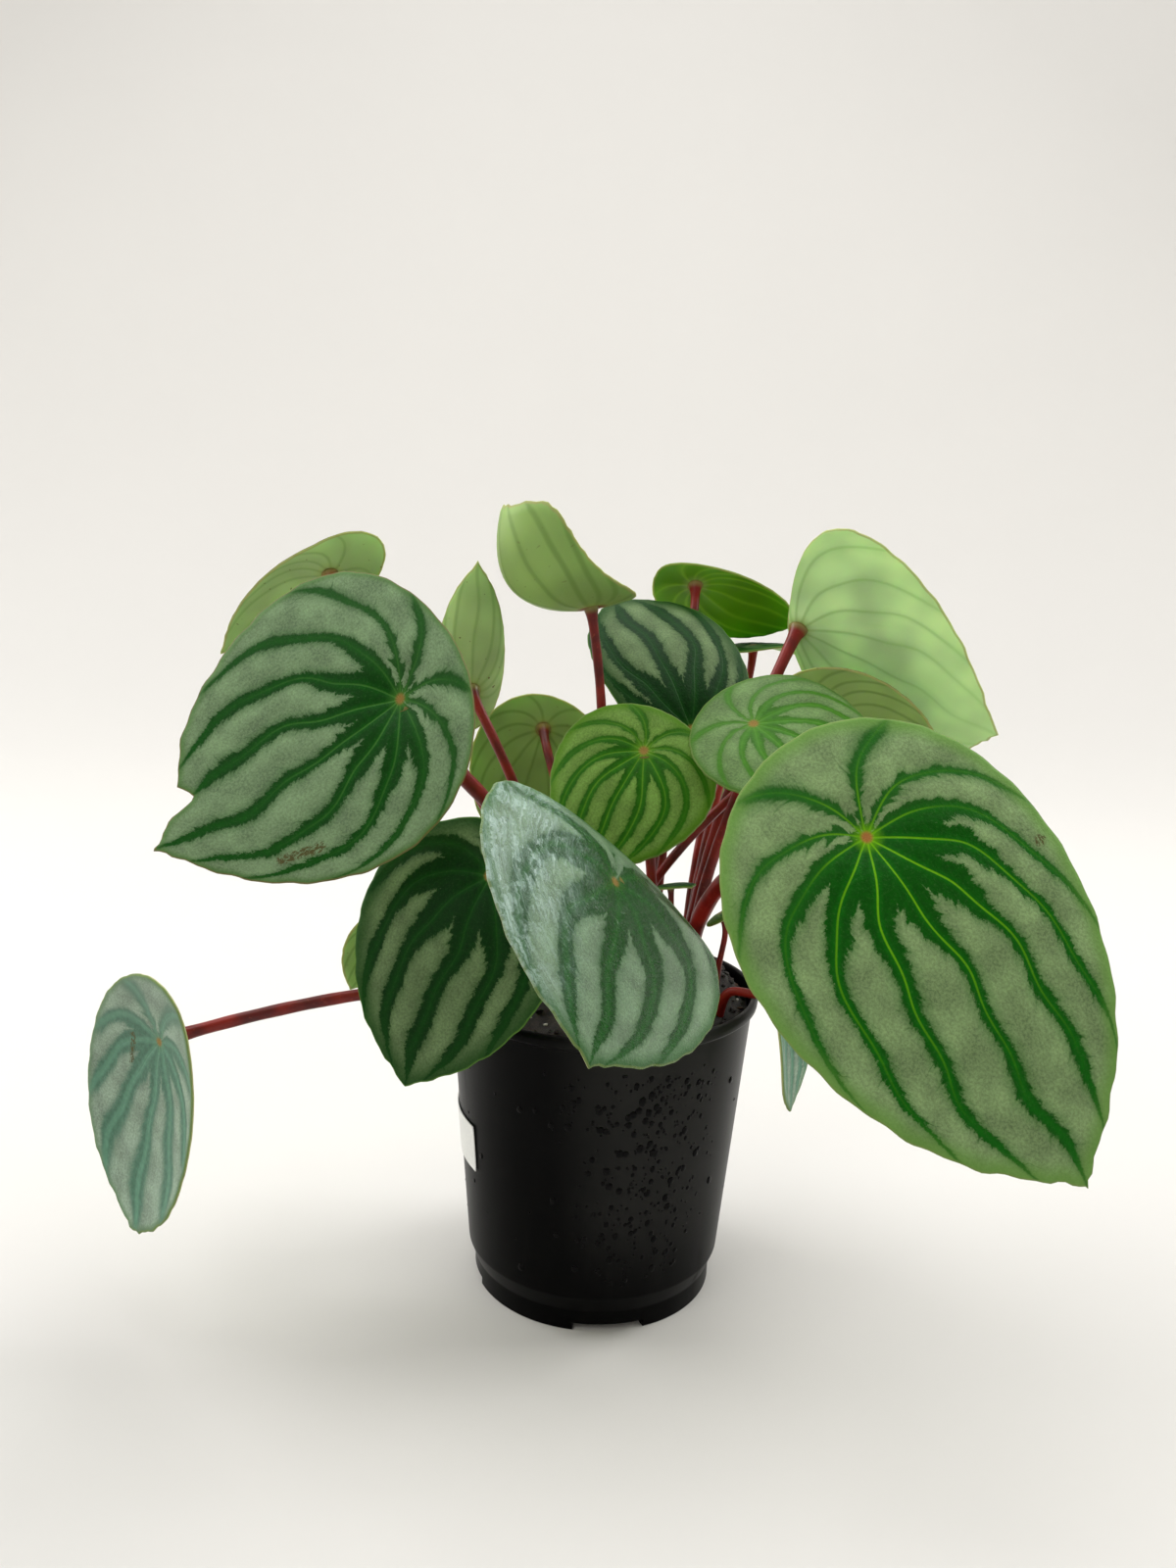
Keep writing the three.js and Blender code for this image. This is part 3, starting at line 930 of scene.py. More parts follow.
@dataclass(frozen=True)
class Earthy:
    """A rough, crumbly surface in two tones."""

    name: str
    dark: Triple
    light: Triple
    grain: float
    roughness: float = 0.9

    def material(self) -> bpy.types.Material:
        """Builds the material.

        Returns:
            The material.
        """
        shade = Shader(self.name)
        coarse = shade.noise(shade.place(), self.grain, 4, 0.65)
        fine = shade.noise(shade.place(), self.grain * 5, 3, 0.7)
        colour = shade.blend(srgb(*self.dark), srgb(*self.light), coarse.ramp(0.35, 0.7))
        colour = shade.blend(colour, srgb(*self.light), fine.ramp(0.62, 0.7) * 0.5)
        return shade.finish(
            Base_Color=colour,
            Roughness=self.roughness - fine * 0.2,
            Normal=shade.bump(fine + coarse, 0.0006, 0.6),
        )


@dataclass(frozen=True)
class Water:
    """Beads of water, as dark as the plastic that shows through them."""

    name: str = "water"
    base: Triple = (2, 2, 2)

    def material(self) -> bpy.types.Material:
        """Builds the material.

        Returns:
            The material.
        """
        shade = Shader(self.name)
        ripple = shade.noise(shade.place(), 700, 1)
        return shade.finish(
            Base_Color=srgb(*self.base),
            Roughness=0.12,
            IOR=1.33,
            Specular_IOR_Level=0.16,
            Normal=shade.bump(ripple, 0.00005, 0.2),
        )


@dataclass(frozen=True)
class FloorFinish:
    """The studio's plain pale floor."""

    name: str = "floor_pale"
    base: Triple = (216, 214, 210)

    def material(self) -> bpy.types.Material:
        """Builds the material.

        Returns:
            The material.
        """
        shade = Shader(self.name)
        soft = shade.noise(shade.place(), 3, 2)
        colour = shade.blend(tinted(self.base, 0.985), srgb(*self.base), soft)
        return shade.finish(Base_Color=colour, Roughness=0.75)


STALK_RED = StalkRed()
POT_BLACK = PotBlack()
LABEL_PAPER = LabelPaper()
SOIL_DARK = Earthy("soil_dark", (10, 7, 6), (40, 29, 22), 420)
CROWN_BARK = Earthy("crown_bark", (52, 34, 24), (112, 80, 56), 500, 0.85)
PERLITE = Earthy("perlite", (176, 170, 158), (232, 229, 220), 700, 0.8)
FIBRE = Earthy("bark_fibre", (48, 30, 20), (104, 72, 46), 600, 0.85)
WATER = Water()
FLOOR_PALE = FloorFinish()


@dataclass(frozen=True)
class Blemish:
    """A dry mark on a blade: a stroke from one flat point to another."""

    start: Pair
    end: Pair
    width: float


@dataclass(frozen=True)
class Tear:
    """A piece that is missing at the margin: where on the turn, how wide, deep and blunt."""

    turn: float
    half_turn: float
    depth: float
    power: float


# ---- One leaf with its stalk ----


@dataclass(frozen=True)
class Growth:
    """How every leaf of this plant grows, in millimetres, and how finely it is meshed.

    Attributes:
        thickness: The blade's thickness at the joint.
        margin_thickness: Its thickness at the margin.
        margin_round: How far the margin's rounding reaches past it.
        widest: Where a blade is widest, as a share of its length from the tip.
        tip_point: How pointed a tip is.
        tip_reach: The tip's share of the length.
        dimple_radius: How wide the dip at the joint is.
        curl_reach: How soon a blade starts to curl behind the joint.
        waves: How many waves its margin has.
        stalk_sunk: How deep a stalk stands in the soil.
        stalk_lean: How much it leans home where it leaves the blade.
        stalk_drift: How much it leans towards the blade where it leaves the soil.
        stalk_flare: How much it widens under the blade.
        flare_reach: How far down it is widened, in widths of its own.
        stalk_swell: How much it widens where it leaves the soil.
        swell_spread: The square of how far it is widened there.
        stalk_waist: How wide it is between the two, as a share of its stated width.
        stalk_sides: How many sides its mesh has.
        stalk_steps: How many rings its mesh has.
        joint_gap: How far below the blade it ends in the CAD source.
        vein_spread: How evenly the veins leave the joint.
        vein_bend: How late they swing towards the tip.
        vein_sway: How much they wander.
        quilt: How far the blade puffs up between veins.
        quilt_spacing: How far apart the veins are where it puffs up fully.
        mesh_step: How large the mesh's faces are.
        outline_steps: How many steps the outline is measured in.
        fewest_rays: How many rays a blade's mesh has at least.
        fewest_rings: How many rings it has at least.
    """

    thickness: float = 1.2
    margin_thickness: float = 0.8
    margin_round: float = 0.3
    widest: float = 0.6
    tip_point: float = 0.85
    tip_reach: float = 0.06
    dimple_radius: float = 8.0
    curl_reach: float = 5.0
    waves: int = 5
    stalk_sunk: float = 8.0
    stalk_lean: float = 0.6
    stalk_drift: float = 0.15
    stalk_flare: float = 0.75
    flare_reach: float = 1.3
    stalk_swell: float = 0.18
    swell_spread: float = 60.0
    stalk_waist: float = 0.96
    stalk_sides: int = 16
    stalk_steps: int = 64
    joint_gap: float = 0.3
    vein_spread: float = 0.9
    vein_bend: float = 2.3
    vein_sway: float = 0.1
    quilt: float = 0.4
    quilt_spacing: float = 12.0
    mesh_step: float = 1.9
    outline_steps: int = 720
    fewest_rays: int = 32
    fewest_rings: int = 10


GROWTH = Growth()


@dataclass
class Leaf:
    """A blade on its stalk: the same driving sizes as the CAD source, with its finishes.

    A place on the blade is flat: u runs from the joint towards the tip, v to the left.

    Attributes:
        name: The leaf's name.
        joint: Where the stalk meets the blade.
        tip: The blade's tip.
        face: Which way its upper side faces.
        back: How far it reaches behind the joint.
        half: Its largest half widths, left and right.
        arch: How far it bulges between joint and tip.
        bow: How far its midrib bends to the left.
        drop: How far its margins fall, left and right.
        wave: How much its margin waves.
        dimple: How far it sinks at the joint.
        root: Where the stalk leaves the soil.
        stalk_radius: The stalk's radius.
        rise: How far the stalk heads straight up out of the soil.
        reach: How far it heads square away below the blade.
        widest: Where the blade is widest, as a share of its length from the tip.
        curl: How far its back curls up, in degrees.
        skew: How far its left side is pushed towards the tip.
        tip_point: How pointed the tip is.
        veins: How many veins each side has.
        vein_swing: How much they swing towards the tip.
        upper: Its upper finish.
        lower: Its lower finish.
        blemishes: Its dry marks.
        tears: Its tears.
        stalk_flare: How much the stalk widens under the blade.
        along: The blade's own way from joint to tip.
        up: Its own way up.
        left: Its own way to the left.
        tip_length: How far the tip is from the joint.
    """

    name: str
    joint: Triple
    tip: Triple
    face: Triple
    back: float
    half: Pair
    arch: float
    bow: float
    drop: Pair
    wave: float
    dimple: float
    root: Pair
    stalk_radius: float
    rise: float
    reach: float
    widest: float = GROWTH.widest
    curl: float = 0.0
    skew: float = 0.0
    tip_point: float = GROWTH.tip_point
    veins: float = 5.5
    vein_swing: float = 0.8
    upper: UpperFinish = SILVER
    lower: LowerFinish = PALE
    blemishes: tuple[Blemish, ...] = ()
    tears: tuple[Tear, ...] = ()
    stalk_flare: float = 1.0
    along: np.ndarray = field(init=False)
    up: np.ndarray = field(init=False)
    left: np.ndarray = field(init=False)
    tip_length: float = field(init=False)

    def __post_init__(self) -> None:
        """Works out the blade's own frame."""
        ahead = np.array(self.tip, float) - np.array(self.joint, float)
        self.tip_length = float(np.linalg.norm(ahead))
        self.along = ahead / self.tip_length
        up = np.array(self.face, float)
        self.up = unit(up - self.along * (up @ self.along))
        self.left = np.cross(self.up, self.along)

    @property
    def length(self) -> float:
        """The whole blade's length."""
        return self.tip_length + self.back

    @property
    def seed(self) -> int:
        """A number of the leaf's own."""
        return sum(ord(letter) * (i + 3) for i, letter in enumerate(self.name))

    def half_width(self, from_tip: np.ndarray, side: np.ndarray) -> np.ndarray:
        """The blade's half width.

        Args:
            from_tip: The share of the length back from the tip.
            side: 1 on the left, -1 on the right.

        Returns:
            The half width there.
        """
        warped = np.clip(from_tip, 0, 1) ** (math.log(0.5) / math.log(self.widest))
        fullness = 2 * np.sqrt(np.maximum(0, warped * (1 - warped)))
        pointed = 1 - self.tip_point * np.exp(-from_tip / GROWTH.tip_reach)
        return np.where(side > 0, self.half[0], self.half[1]) * fullness * pointed

    def margin(self, turn: np.ndarray) -> tuple[np.ndarray, np.ndarray]:
        """The whole outline.

        Args:
            turn: 0 at the tip, on round the left side, in radians.

        Returns:
            The outline's flat places.
        """
        from_tip = (1 - np.cos(turn)) / 2
        side = np.where(np.sin(turn) >= 0, 1.0, -1.0)
        v = side * self.half_width(from_tip, side)
        return self.tip_length - self.length * from_tip + self.skew * v, v

    def worn_margin(self, turn: np.ndarray) -> tuple[np.ndarray, np.ndarray]:
        """The outline with its small ripples and its tears.

        Args:
            turn: As for margin.

        Returns:
            The outline's flat places.
        """
        u, v = self.margin(turn)
        ripple = 1 + 0.004 * np.sin(23 * turn + self.seed)
        ripple = ripple + 0.003 * np.sin(41 * turn + 2 * self.seed)
        for tear in self.tears:
            off = np.abs((turn - tear.turn + math.pi) % (2 * math.pi) - math.pi)
            bite = np.clip(1 - off / tear.half_turn, 0, 1) ** tear.power
            ripple = ripple - bite * tear.depth / np.hypot(u, v)
        return u * ripple, v * ripple

    def point_at(self, u: np.ndarray, v: np.ndarray) -> np.ndarray:
        """The blade's bent middle surface.

        Args:
            u: How far ahead of the joint.
            v: How far to the left.

        Returns:
            The points in the frame.
        """
        share = u / self.tip_length
        drop = np.where(v > 0, self.drop[0], self.drop[1])
        across = v / np.where(v > 0, self.half[0], self.half[1])
        radius = np.hypot(u, v)
        turn = np.arctan2(v, u)
        bulge = 4 * share * (1 - share)
        behind = np.minimum(u, 0)
        curl = math.radians(self.curl) * (1 - np.exp(behind / GROWTH.curl_reach))
        height = self.arch * bulge - drop * across**2 - behind * np.sin(curl)
        height = height + self.dimple * (1 - np.exp(-((radius / GROWTH.dimple_radius) ** 2)))
        wave = np.sin(GROWTH.waves * turn + self.joint[0])
        height = height + self.wave * wave * (radius / self.length) ** 2
        ahead = (u - behind * (1 - np.cos(curl)))[..., None] * self.along
        aside = (self.bow * bulge + v)[..., None] * self.left
        return np.array(self.joint, float) + ahead + aside + height[..., None] * self.up

    def normal_at(self, u: np.ndarray, v: np.ndarray) -> np.ndarray:
        """The middle surface's normals.

        Args:
            u: How far ahead of the joint.
            v: How far to the left.

        Returns:
            The normals, on the upper side.
        """
        step = 0.5
        du = self.point_at(u + step, v) - self.point_at(u - step, v)
        dv = self.point_at(u, v + step) - self.point_at(u, v - step)
        normal = np.cross(du, dv)
        return normal / np.linalg.norm(normal, axis=-1, keepdims=True)

    def joint_normal(self) -> np.ndarray:
        """The middle surface's normal at the joint."""
        return self.normal_at(np.zeros(1), np.zeros(1))[0]

    def outwards(self, u: np.ndarray, v: np.ndarray, side: np.ndarray) -> np.ndarray:
        """How far out a place is.

        Args:
            u: How far ahead of the joint.
            v: How far to the left.
            side: 1 on the left, -1 on the right, also where v is 0.

        Returns:
            0 at the joint to 1 at the margin.
        """
        turns = np.linspace(-math.pi, math.pi, GROWTH.outline_steps + 1)[1:-1]
        outline_u, outline_v = self.margin(turns)
        angles = np.arctan2(outline_v, outline_u)
        order = np.argsort(angles)
        far = np.hypot(outline_u, outline_v)
        angle = side * np.abs(np.arctan2(v, u))
        return np.hypot(u, v) / np.interp(angle, angles[order], far[order])

    def vein_number(self, u: np.ndarray, v: np.ndarray, side: np.ndarray) -> np.ndarray:
        """Which vein a place is on: 0 at the midrib and whole at each vein.

        Each vein leaves the joint at its own angle and swings towards the tip on its way out.

        Args:
            u: How far ahead of the joint.
            v: How far to the left.
            side: 1 on the left, -1 on the right, also where v is 0.

        Returns:
            The vein number, below 0 on the right.
        """
        newton_steps = 24
        swung = np.clip(self.outwards(u, v, side), 0, 1) ** GROWTH.vein_bend * self.vein_swing
        angle = np.abs(np.arctan2(v, u)) / math.pi
        launch = np.ones_like(angle)
        for _ in range(newton_steps):
            value = launch * (1 - swung * (1 - launch**2)) - angle
            launch = np.maximum(launch - value / (1 - swung + 3 * swung * launch**2), 0)
        number = side * self.veins * launch**GROWTH.vein_spread
        far = np.hypot(u, v)
        sway = np.sin(far * 0.11 + number * 0.9 + self.seed)
        sway = sway + 0.5 * np.sin(far * 0.27 - number * 1.3 + 2 * self.seed)
        return number + GROWTH.vein_sway * sway * (1 - launch**4) * np.clip(far / 22, 0, 1)

    def crowding(self, u: np.ndarray, v: np.ndarray, side: np.ndarray) -> np.ndarray:
        """How crowded the veins are.

        Args:
            u: How far ahead of the joint.
            v: How far to the left.
            side: 1 on the left, -1 on the right, also where v is 0.

        Returns:
            How many veins there are to a millimetre.
        """
        step = 0.25
        du = self.vein_number(u + step, v, side) - self.vein_number(u - step, v, side)
        away = np.where(np.abs(v) < 2 * step, side * 2 * step, v)
        dv = self.vein_number(u, away + step, side) - self.vein_number(u, away - step, side)
        return np.clip(np.hypot(du, dv) / (2 * step), 0.03, 1.5)

    def blemish_at(self, u: np.ndarray, v: np.ndarray) -> np.ndarray:
        """How marked the blade is.

        Args:
            u: How far ahead of the joint.
            v: How far to the left.

        Returns:
            0 where it is sound to 1 on a mark.
        """
        marked = np.zeros_like(u)
        for mark in self.blemishes:
            start, way = np.array(mark.start), np.array(mark.end) - np.array(mark.start)
            share = ((u - start[0]) * way[0] + (v - start[1]) * way[1]) / max(way @ way, 1e-6)
            share = np.clip(share, 0, 1)
            off = np.hypot(u - start[0] - share * way[0], v - start[1] - share * way[1])
            marked = np.maximum(marked, np.exp(-((off / mark.width) ** 2)))
        return marked

    def rays(self) -> tuple[np.ndarray, np.ndarray, np.ndarray]:
        """Spreads the mesh's rays evenly round the worn outline.

        Returns:
            Where each ray ends, ahead and to the left, and its side. The last ray is the first
            one again.
        """
        turns = np.linspace(-math.pi, math.pi, GROWTH.outline_steps + 1)
        outline_u, outline_v = self.worn_margin(turns)
        spans = np.hypot(np.diff(outline_u), np.diff(outline_v))
        count = max(GROWTH.fewest_rays, int(spans.sum() / GROWTH.mesh_step))
        walked = np.concatenate([[0], np.cumsum(spans)]) / spans.sum()
        even = np.interp(np.linspace(0, 1, count + 1), walked, turns)
        edge_u, edge_v = self.worn_margin(even)
        return edge_u, edge_v, np.where(even < 0, -1.0, 1.0)

    @staticmethod
    def ring_shares(farthest: float) -> np.ndarray:
        """How far out each ring of the mesh is, closer together towards the joint.

        Args:
            farthest: How far the margin is from the joint, at most.

        Returns:
            The rings' shares of the way, with a small first ring and 1 at the margin.
        """
        rings = max(GROWTH.fewest_rings, int(farthest / GROWTH.mesh_step))
        shares = np.linspace(0, 1, rings + 1)[1:] ** 1.12
        return np.concatenate([[0.35 * shares[0]], shares])

    def blade_points(
        self, u: np.ndarray, v: np.ndarray, shares: np.ndarray, vein_map: Sequence[np.ndarray]
    ) -> np.ndarray:
        """The blade's points, quilted between the veins.

        Args:
            u: How far ahead of the joint each place of the grid is, a row to a ring.
            v: How far to the left it is.
            shares: How far out each ring is.
            vein_map: The grid's vein numbers, distances from the joint and crowding.

        Returns:
            The upper side's points, the lower side's, the rim's and the two at the joint.
        """
        number, _, crowd = vein_map
        puff = GROWTH.quilt * np.sin(math.pi * np.abs(number - np.round(number))) ** 2
        puff = puff * np.clip(1 / crowd / GROWTH.quilt_spacing, 0, 1)
        fade = 1 - shares[:, None] ** 6
        normal = self.normal_at(u, v)
        middle = self.point_at(u, v) + (puff * fade)[..., None] * normal
        thick = GROWTH.thickness + (GROWTH.margin_thickness - GROWTH.thickness) * shares**3
        half = (thick / 2)[:, None, None] * normal
        upper = (middle + half)[:, :-1].reshape(-1, 3)
        lower = (middle - half)[:, :-1].reshape(-1, 3)
        rim = middle[-1] + GROWTH.margin_round * unit_rows(middle[-1] - middle[-2])
        centre = self.point_at(np.zeros(1), np.zeros(1))[0]
        upright = self.joint_normal() * GROWTH.thickness / 2
        return np.concatenate([upper, lower, rim[:-1], [centre + upright, centre - upright]])

    @staticmethod
    def blade_faces(rows: int, rays: int) -> tuple[list[Face], list[list[tuple[int, int]]]]:
        """The blade's faces, an upper one and the lower one under it by turns.

        Args:
            rows: How many rings there are.
            rays: How many rays there are.

        Returns:
            The faces, and the ring and ray that each of their corners reads its maps at.
        """
        below, rim = rows * rays, 2 * rows * rays
        centre = rim + rays
        faces: list[Face] = []
        keys: list[list[tuple[int, int]]] = []

        def under(place: int) -> int:
            """The lower side's point under an upper one, or a rim point itself."""
            if place < below:
                return place + below
            return place + 1 if place == centre else place

        def lay(face: Face, corners: list[tuple[int, int]]) -> None:
            """Adds an upper face and its lower one, which turns the other way."""
            faces.extend([face, tuple(under(place) for place in reversed(face))])
            keys.extend([corners, corners[::-1]])

        for i in range(rays):
            j = (i + 1) % rays
            lay((centre, i, j), [(0, i), (0, i), (0, i + 1)])
            for row in range(rows - 1):
                a, b = row * rays, (row + 1) * rays
                corners = [(row, i), (row + 1, i), (row + 1, i + 1), (row, i + 1)]
                lay((a + i, b + i, b + j, a + j), corners)
            last, a = rows - 1, (rows - 1) * rays
            corners = [(last, i), (last, i), (last, i + 1), (last, i + 1)]
            lay((a + i, rim + i, rim + j, a + j), corners)
        return faces, keys

    def build_blade(self) -> bpy.types.Object:
        """Builds the blade, with the maps that its finishes read.

        Returns:
            The blade.
        """
        edge_u, edge_v, side = self.rays()
        shares = self.ring_shares(np.hypot(edge_u, edge_v).max())
        u, v = np.outer(shares, edge_u), np.outer(shares, edge_v)
        sides = np.broadcast_to(side, u.shape)
        out = np.broadcast_to(shares[:, None], u.shape)
        vein_map = self.vein_number(u, v, sides), np.hypot(u, v), self.crowding(u, v, sides)
        edge = self.edge_distance(u, v, edge_u, edge_v)
        maps = {
            "vein_map": vein_map,
            "blade_map": (u / 10 + self.seed % 97, v / 10, edge),
            "mark_map": (out, self.blemish_at(u, v), np.zeros_like(u)),
        }
        points = self.blade_points(u, v, shares, vein_map)
        faces, keys = self.blade_faces(len(shares), len(edge_u) - 1)
        blade = mesh_piece(f"blade_{self.name}", points, faces, self.upper, self.lower)
        rings, rays = np.array([corner for corners in keys for corner in corners]).T
        for name, parts in maps.items():
            put_corner_vectors(blade, name, np.stack(parts, -1)[rings, rays])
        lower_ones = np.arange(len(faces), dtype=np.int32) % 2
        blade.data.polygons.foreach_set("material_index", lower_ones)
        return blade

    @staticmethod
    def edge_distance(
        u: np.ndarray, v: np.ndarray, edge_u: np.ndarray, edge_v: np.ndarray
    ) -> np.ndarray:
        """How far each place is from the outline.

        Args:
            u: How far ahead of the joint each place is.
            v: How far to the left it is.
            edge_u: The outline's places ahead.
            edge_v: The outline's places to the left.

        Returns:
            The distances.
        """
        flat_u, flat_v = u.reshape(-1, 1), v.reshape(-1, 1)
        gaps = np.hypot(flat_u - edge_u[None, :], flat_v - edge_v[None, :])
        return gaps.min(axis=1).reshape(u.shape)

    def stalk_path(self) -> np.ndarray:
        """The stalk's centreline: up out of the soil, over and square to the blade.

        Returns:
            Its points from the foot in the soil to inside the blade.
        """
        x, y = self.root
        foot = np.array([x, y, soil_height(x, y) - GROWTH.stalk_sunk])
        joint = np.array(self.joint, float)
        normal = self.joint_normal()
        below = unit(GROWTH.stalk_lean * unit(foot - joint) - normal)
        tilt = math.sqrt(1 - float(below @ normal) ** 2)
        gap = GROWTH.thickness / 2 + GROWTH.joint_gap + self.stalk_radius * tilt
        end = joint + below * gap
        before = end + below * self.reach
        after = foot + np.array([0, 0, GROWTH.stalk_sunk + self.rise])
        after[:2] += GROWTH.stalk_drift * (before[:2] - foot[:2])
        t = np.linspace(0, 1, GROWTH.stalk_steps)[:, None]
        curve = (1 - t) ** 3 * foot + 3 * (1 - t) ** 2 * t * after
        curve = curve + 3 * (1 - t) * t**2 * before + t**3 * end
        into = np.linspace(0, 1, 4)[1:, None]
        return np.concatenate([curve, end + (joint - end) * into])

    def build_stalk(self) -> bpy.types.Object:
        """Builds the fleshy stalk: a round rod that widens into the blade's underside.

        Returns:
            The stalk.
        """
        path, sides = self.stalk_path(), GROWTH.stalk_sides
        spans = np.linalg.norm(np.diff(path, axis=0), axis=1)
        walked = np.concatenate([[0], np.cumsum(spans)])
        to_end = walked[-1] - walked
        flare = np.exp(-to_end / (GROWTH.flare_reach * self.stalk_radius)) * self.stalk_flare
        from_soil = walked - GROWTH.stalk_sunk
        swell = GROWTH.stalk_swell * np.exp(-(from_soil**2) / GROWTH.swell_spread)
        radius = self.stalk_radius * (GROWTH.stalk_waist + GROWTH.stalk_flare * flare + swell)
        radius = radius * (1 + 0.025 * np.sin(walked * 0.42 + self.seed))
        tangents = np.gradient(path, axis=0)
        across = unit(np.cross(tangents[0], [0.3, 1.0, 0.1]))
        turns = np.linspace(0, 2 * math.pi, sides, endpoint=False)[:, None]
        rows = []
        for point, tangent, r in zip(path, tangents, radius):
            tangent = unit(tangent)
            across = unit(across - tangent * (across @ tangent))
            other = np.cross(tangent, across)
            rows.append(point + r * (np.cos(turns) * across + np.sin(turns) * other))
        points = np.concatenate([*rows, [path[0], path[-1]]])
        faces = grid_faces(len(path), sides, True)
        foot, last = len(path) * sides, (len(path) - 1) * sides
        faces += [(foot, (i + 1) % sides, i) for i in range(sides)]
        faces += [(foot + 1, last + i, last + (i + 1) % sides) for i in range(sides)]
        stalk = mesh_piece(f"stem_{self.name}", points, faces, STALK_RED)
        below_blade = np.concatenate([np.repeat(to_end, sides), [to_end[0], 0.0]])
        put_values(stalk, "below_blade", below_blade)
        return stalk

    def build(self) -> None:
        """Builds and settles both pieces."""
        settle(self.build_blade(), Slot.LEAF, f"leaf_{self.name}")
        settle(self.build_stalk(), Slot.STALK, f"stalk_{self.name}")


# ---- Pot, label and soil ----


def rounded(profile: Sequence[Pair], radius: float, steps: int = 4) -> list[Pair]:
    """Rounds the inner corners of a profile.

    Args:
        profile: Its corners, in order.
        radius: How far from a corner its rounding starts, at most.
        steps: How many pieces a rounding has.

    Returns:
        The rounded profile.
    """
    made: list[Pair] = [profile[0]]
    for before, corner, after in zip(profile, profile[1:], profile[2:]):
        a, c, b = (Vector(point) for point in (before, corner, after))
        start = c + (a - c).normalized() * min(radius, (a - c).length * 0.45)
        end = c + (b - c).normalized() * min(radius, (b - c).length * 0.45)
        for i in range(steps + 1):
            t = i / steps
            bent = start * (1 - t) ** 2 + c * 2 * t * (1 - t) + end * t**2
            made.append((bent.x, bent.y))
    made.append(profile[-1])
    return made


@dataclass
class Pot:
    """The thin nursery pot: lip, tapered wall, stepped foot and four drain notches."""

    height: float = 104.0
    lip_radius: float = 52.8
    wall_top: Pair = (50.9, 99.5)
    wall_foot: Pair = (43.4, 13.0)
    foot_radius: float = 41.0
    foot_height: float = 7.0
    foot_ring: float = 3.0
    floor_lift: float = 3.0
    pad_radius: float = 12.0
    wall: float = 1.2
    drain_count: int = 4
    drain_first: float = math.radians(-82)
    drain_half: float = math.radians(16.5)
    drain_height: float = 2.6
    drain_depth: float = 2.4
    corner: float = 0.55
    columns: int = 168

    def wall_radius(self, height: float) -> float:
        """The outer wall's radius at a height."""
        share = (height - self.wall_foot[1]) / (self.wall_top[1] - self.wall_foot[1])
        return self.wall_foot[0] + (self.wall_top[0] - self.wall_foot[0]) * share

    def profile(self) -> list[Pair]:
        """The wall's closed section.

        Returns:
            Its corners, rounded, from the middle of the underside round to the floor.
        """
        ring, pad, lift = self.foot_radius - self.foot_ring, self.pad_radius, self.floor_lift
        lip, top, foot, wall = self.lip_radius, self.wall_top, self.foot_radius, self.wall
        outside: list[Pair] = [
            (0, 0), (pad, 0), (pad + 1.5, lift), (ring - 1.5, lift), (ring, 0), (foot, 0),
            (foot, self.foot_height), self.wall_foot, (self.wall_radius(60), 60), top,
            (lip - 0.3, top[1] + 0.9), (lip, self.height - 1.6), (lip - 0.6, self.height),
        ]
        inside: list[Pair] = [
            (lip - 2.2, self.height), (top[0] - wall, top[1]),
            (self.wall_foot[0] - wall, self.wall_foot[1] + wall / 2),
            (foot - wall, self.foot_height + wall / 2), (foot - wall, wall),
            (ring + 0.6, wall), (ring - 0.9, lift + wall), (pad + 0.9, lift + wall),
            (pad - 0.6, wall), (0, wall),
        ]
        return rounded([*outside, *inside], self.corner)

    def angles(self) -> list[tuple[float, bool]]:
        """The columns round the wall, doubled where a drain notch starts or ends.

        Returns:
            Each column's angle, and whether it stands in a drain notch.
        """
        step, gap = 2 * math.pi / self.columns, 2 * math.pi / self.drain_count
        inside = max(2, round(2 * self.drain_half / step))
        outside = max(2, round((gap - 2 * self.drain_half) / step))
        made: list[tuple[float, bool]] = []
        for i in range(self.drain_count):
            start = self.drain_first + i * gap - self.drain_half
            end = start + 2 * self.drain_half
            made += [(start + (end - start) * k / inside, True) for k in range(inside + 1)]
            made += [(end + (start + gap - end) * k / outside, False) for k in range(outside + 1)]
        return made

    def build(self) -> None:
        """Builds and settles the pot."""
        profile, angles = self.profile(), self.angles()
        notch_inner = self.foot_radius - self.foot_ring - self.drain_depth
        points: list[Triple] = []
        for angle, notched in angles:
            for radius, height in profile:
                if notched and radius > notch_inner:
                    height = max(height, self.drain_height)
                points.append(polar(radius, angle, height))
        grid = grid_faces(len(angles) + 1, len(profile), False)
        faces = [tuple(place % len(points) for place in face) for face in grid]
        pot = mesh_piece("nursery_pot", points, faces, POT_BLACK)
        weld(pot, 40)
        settle(pot, Slot.POT, "pot")


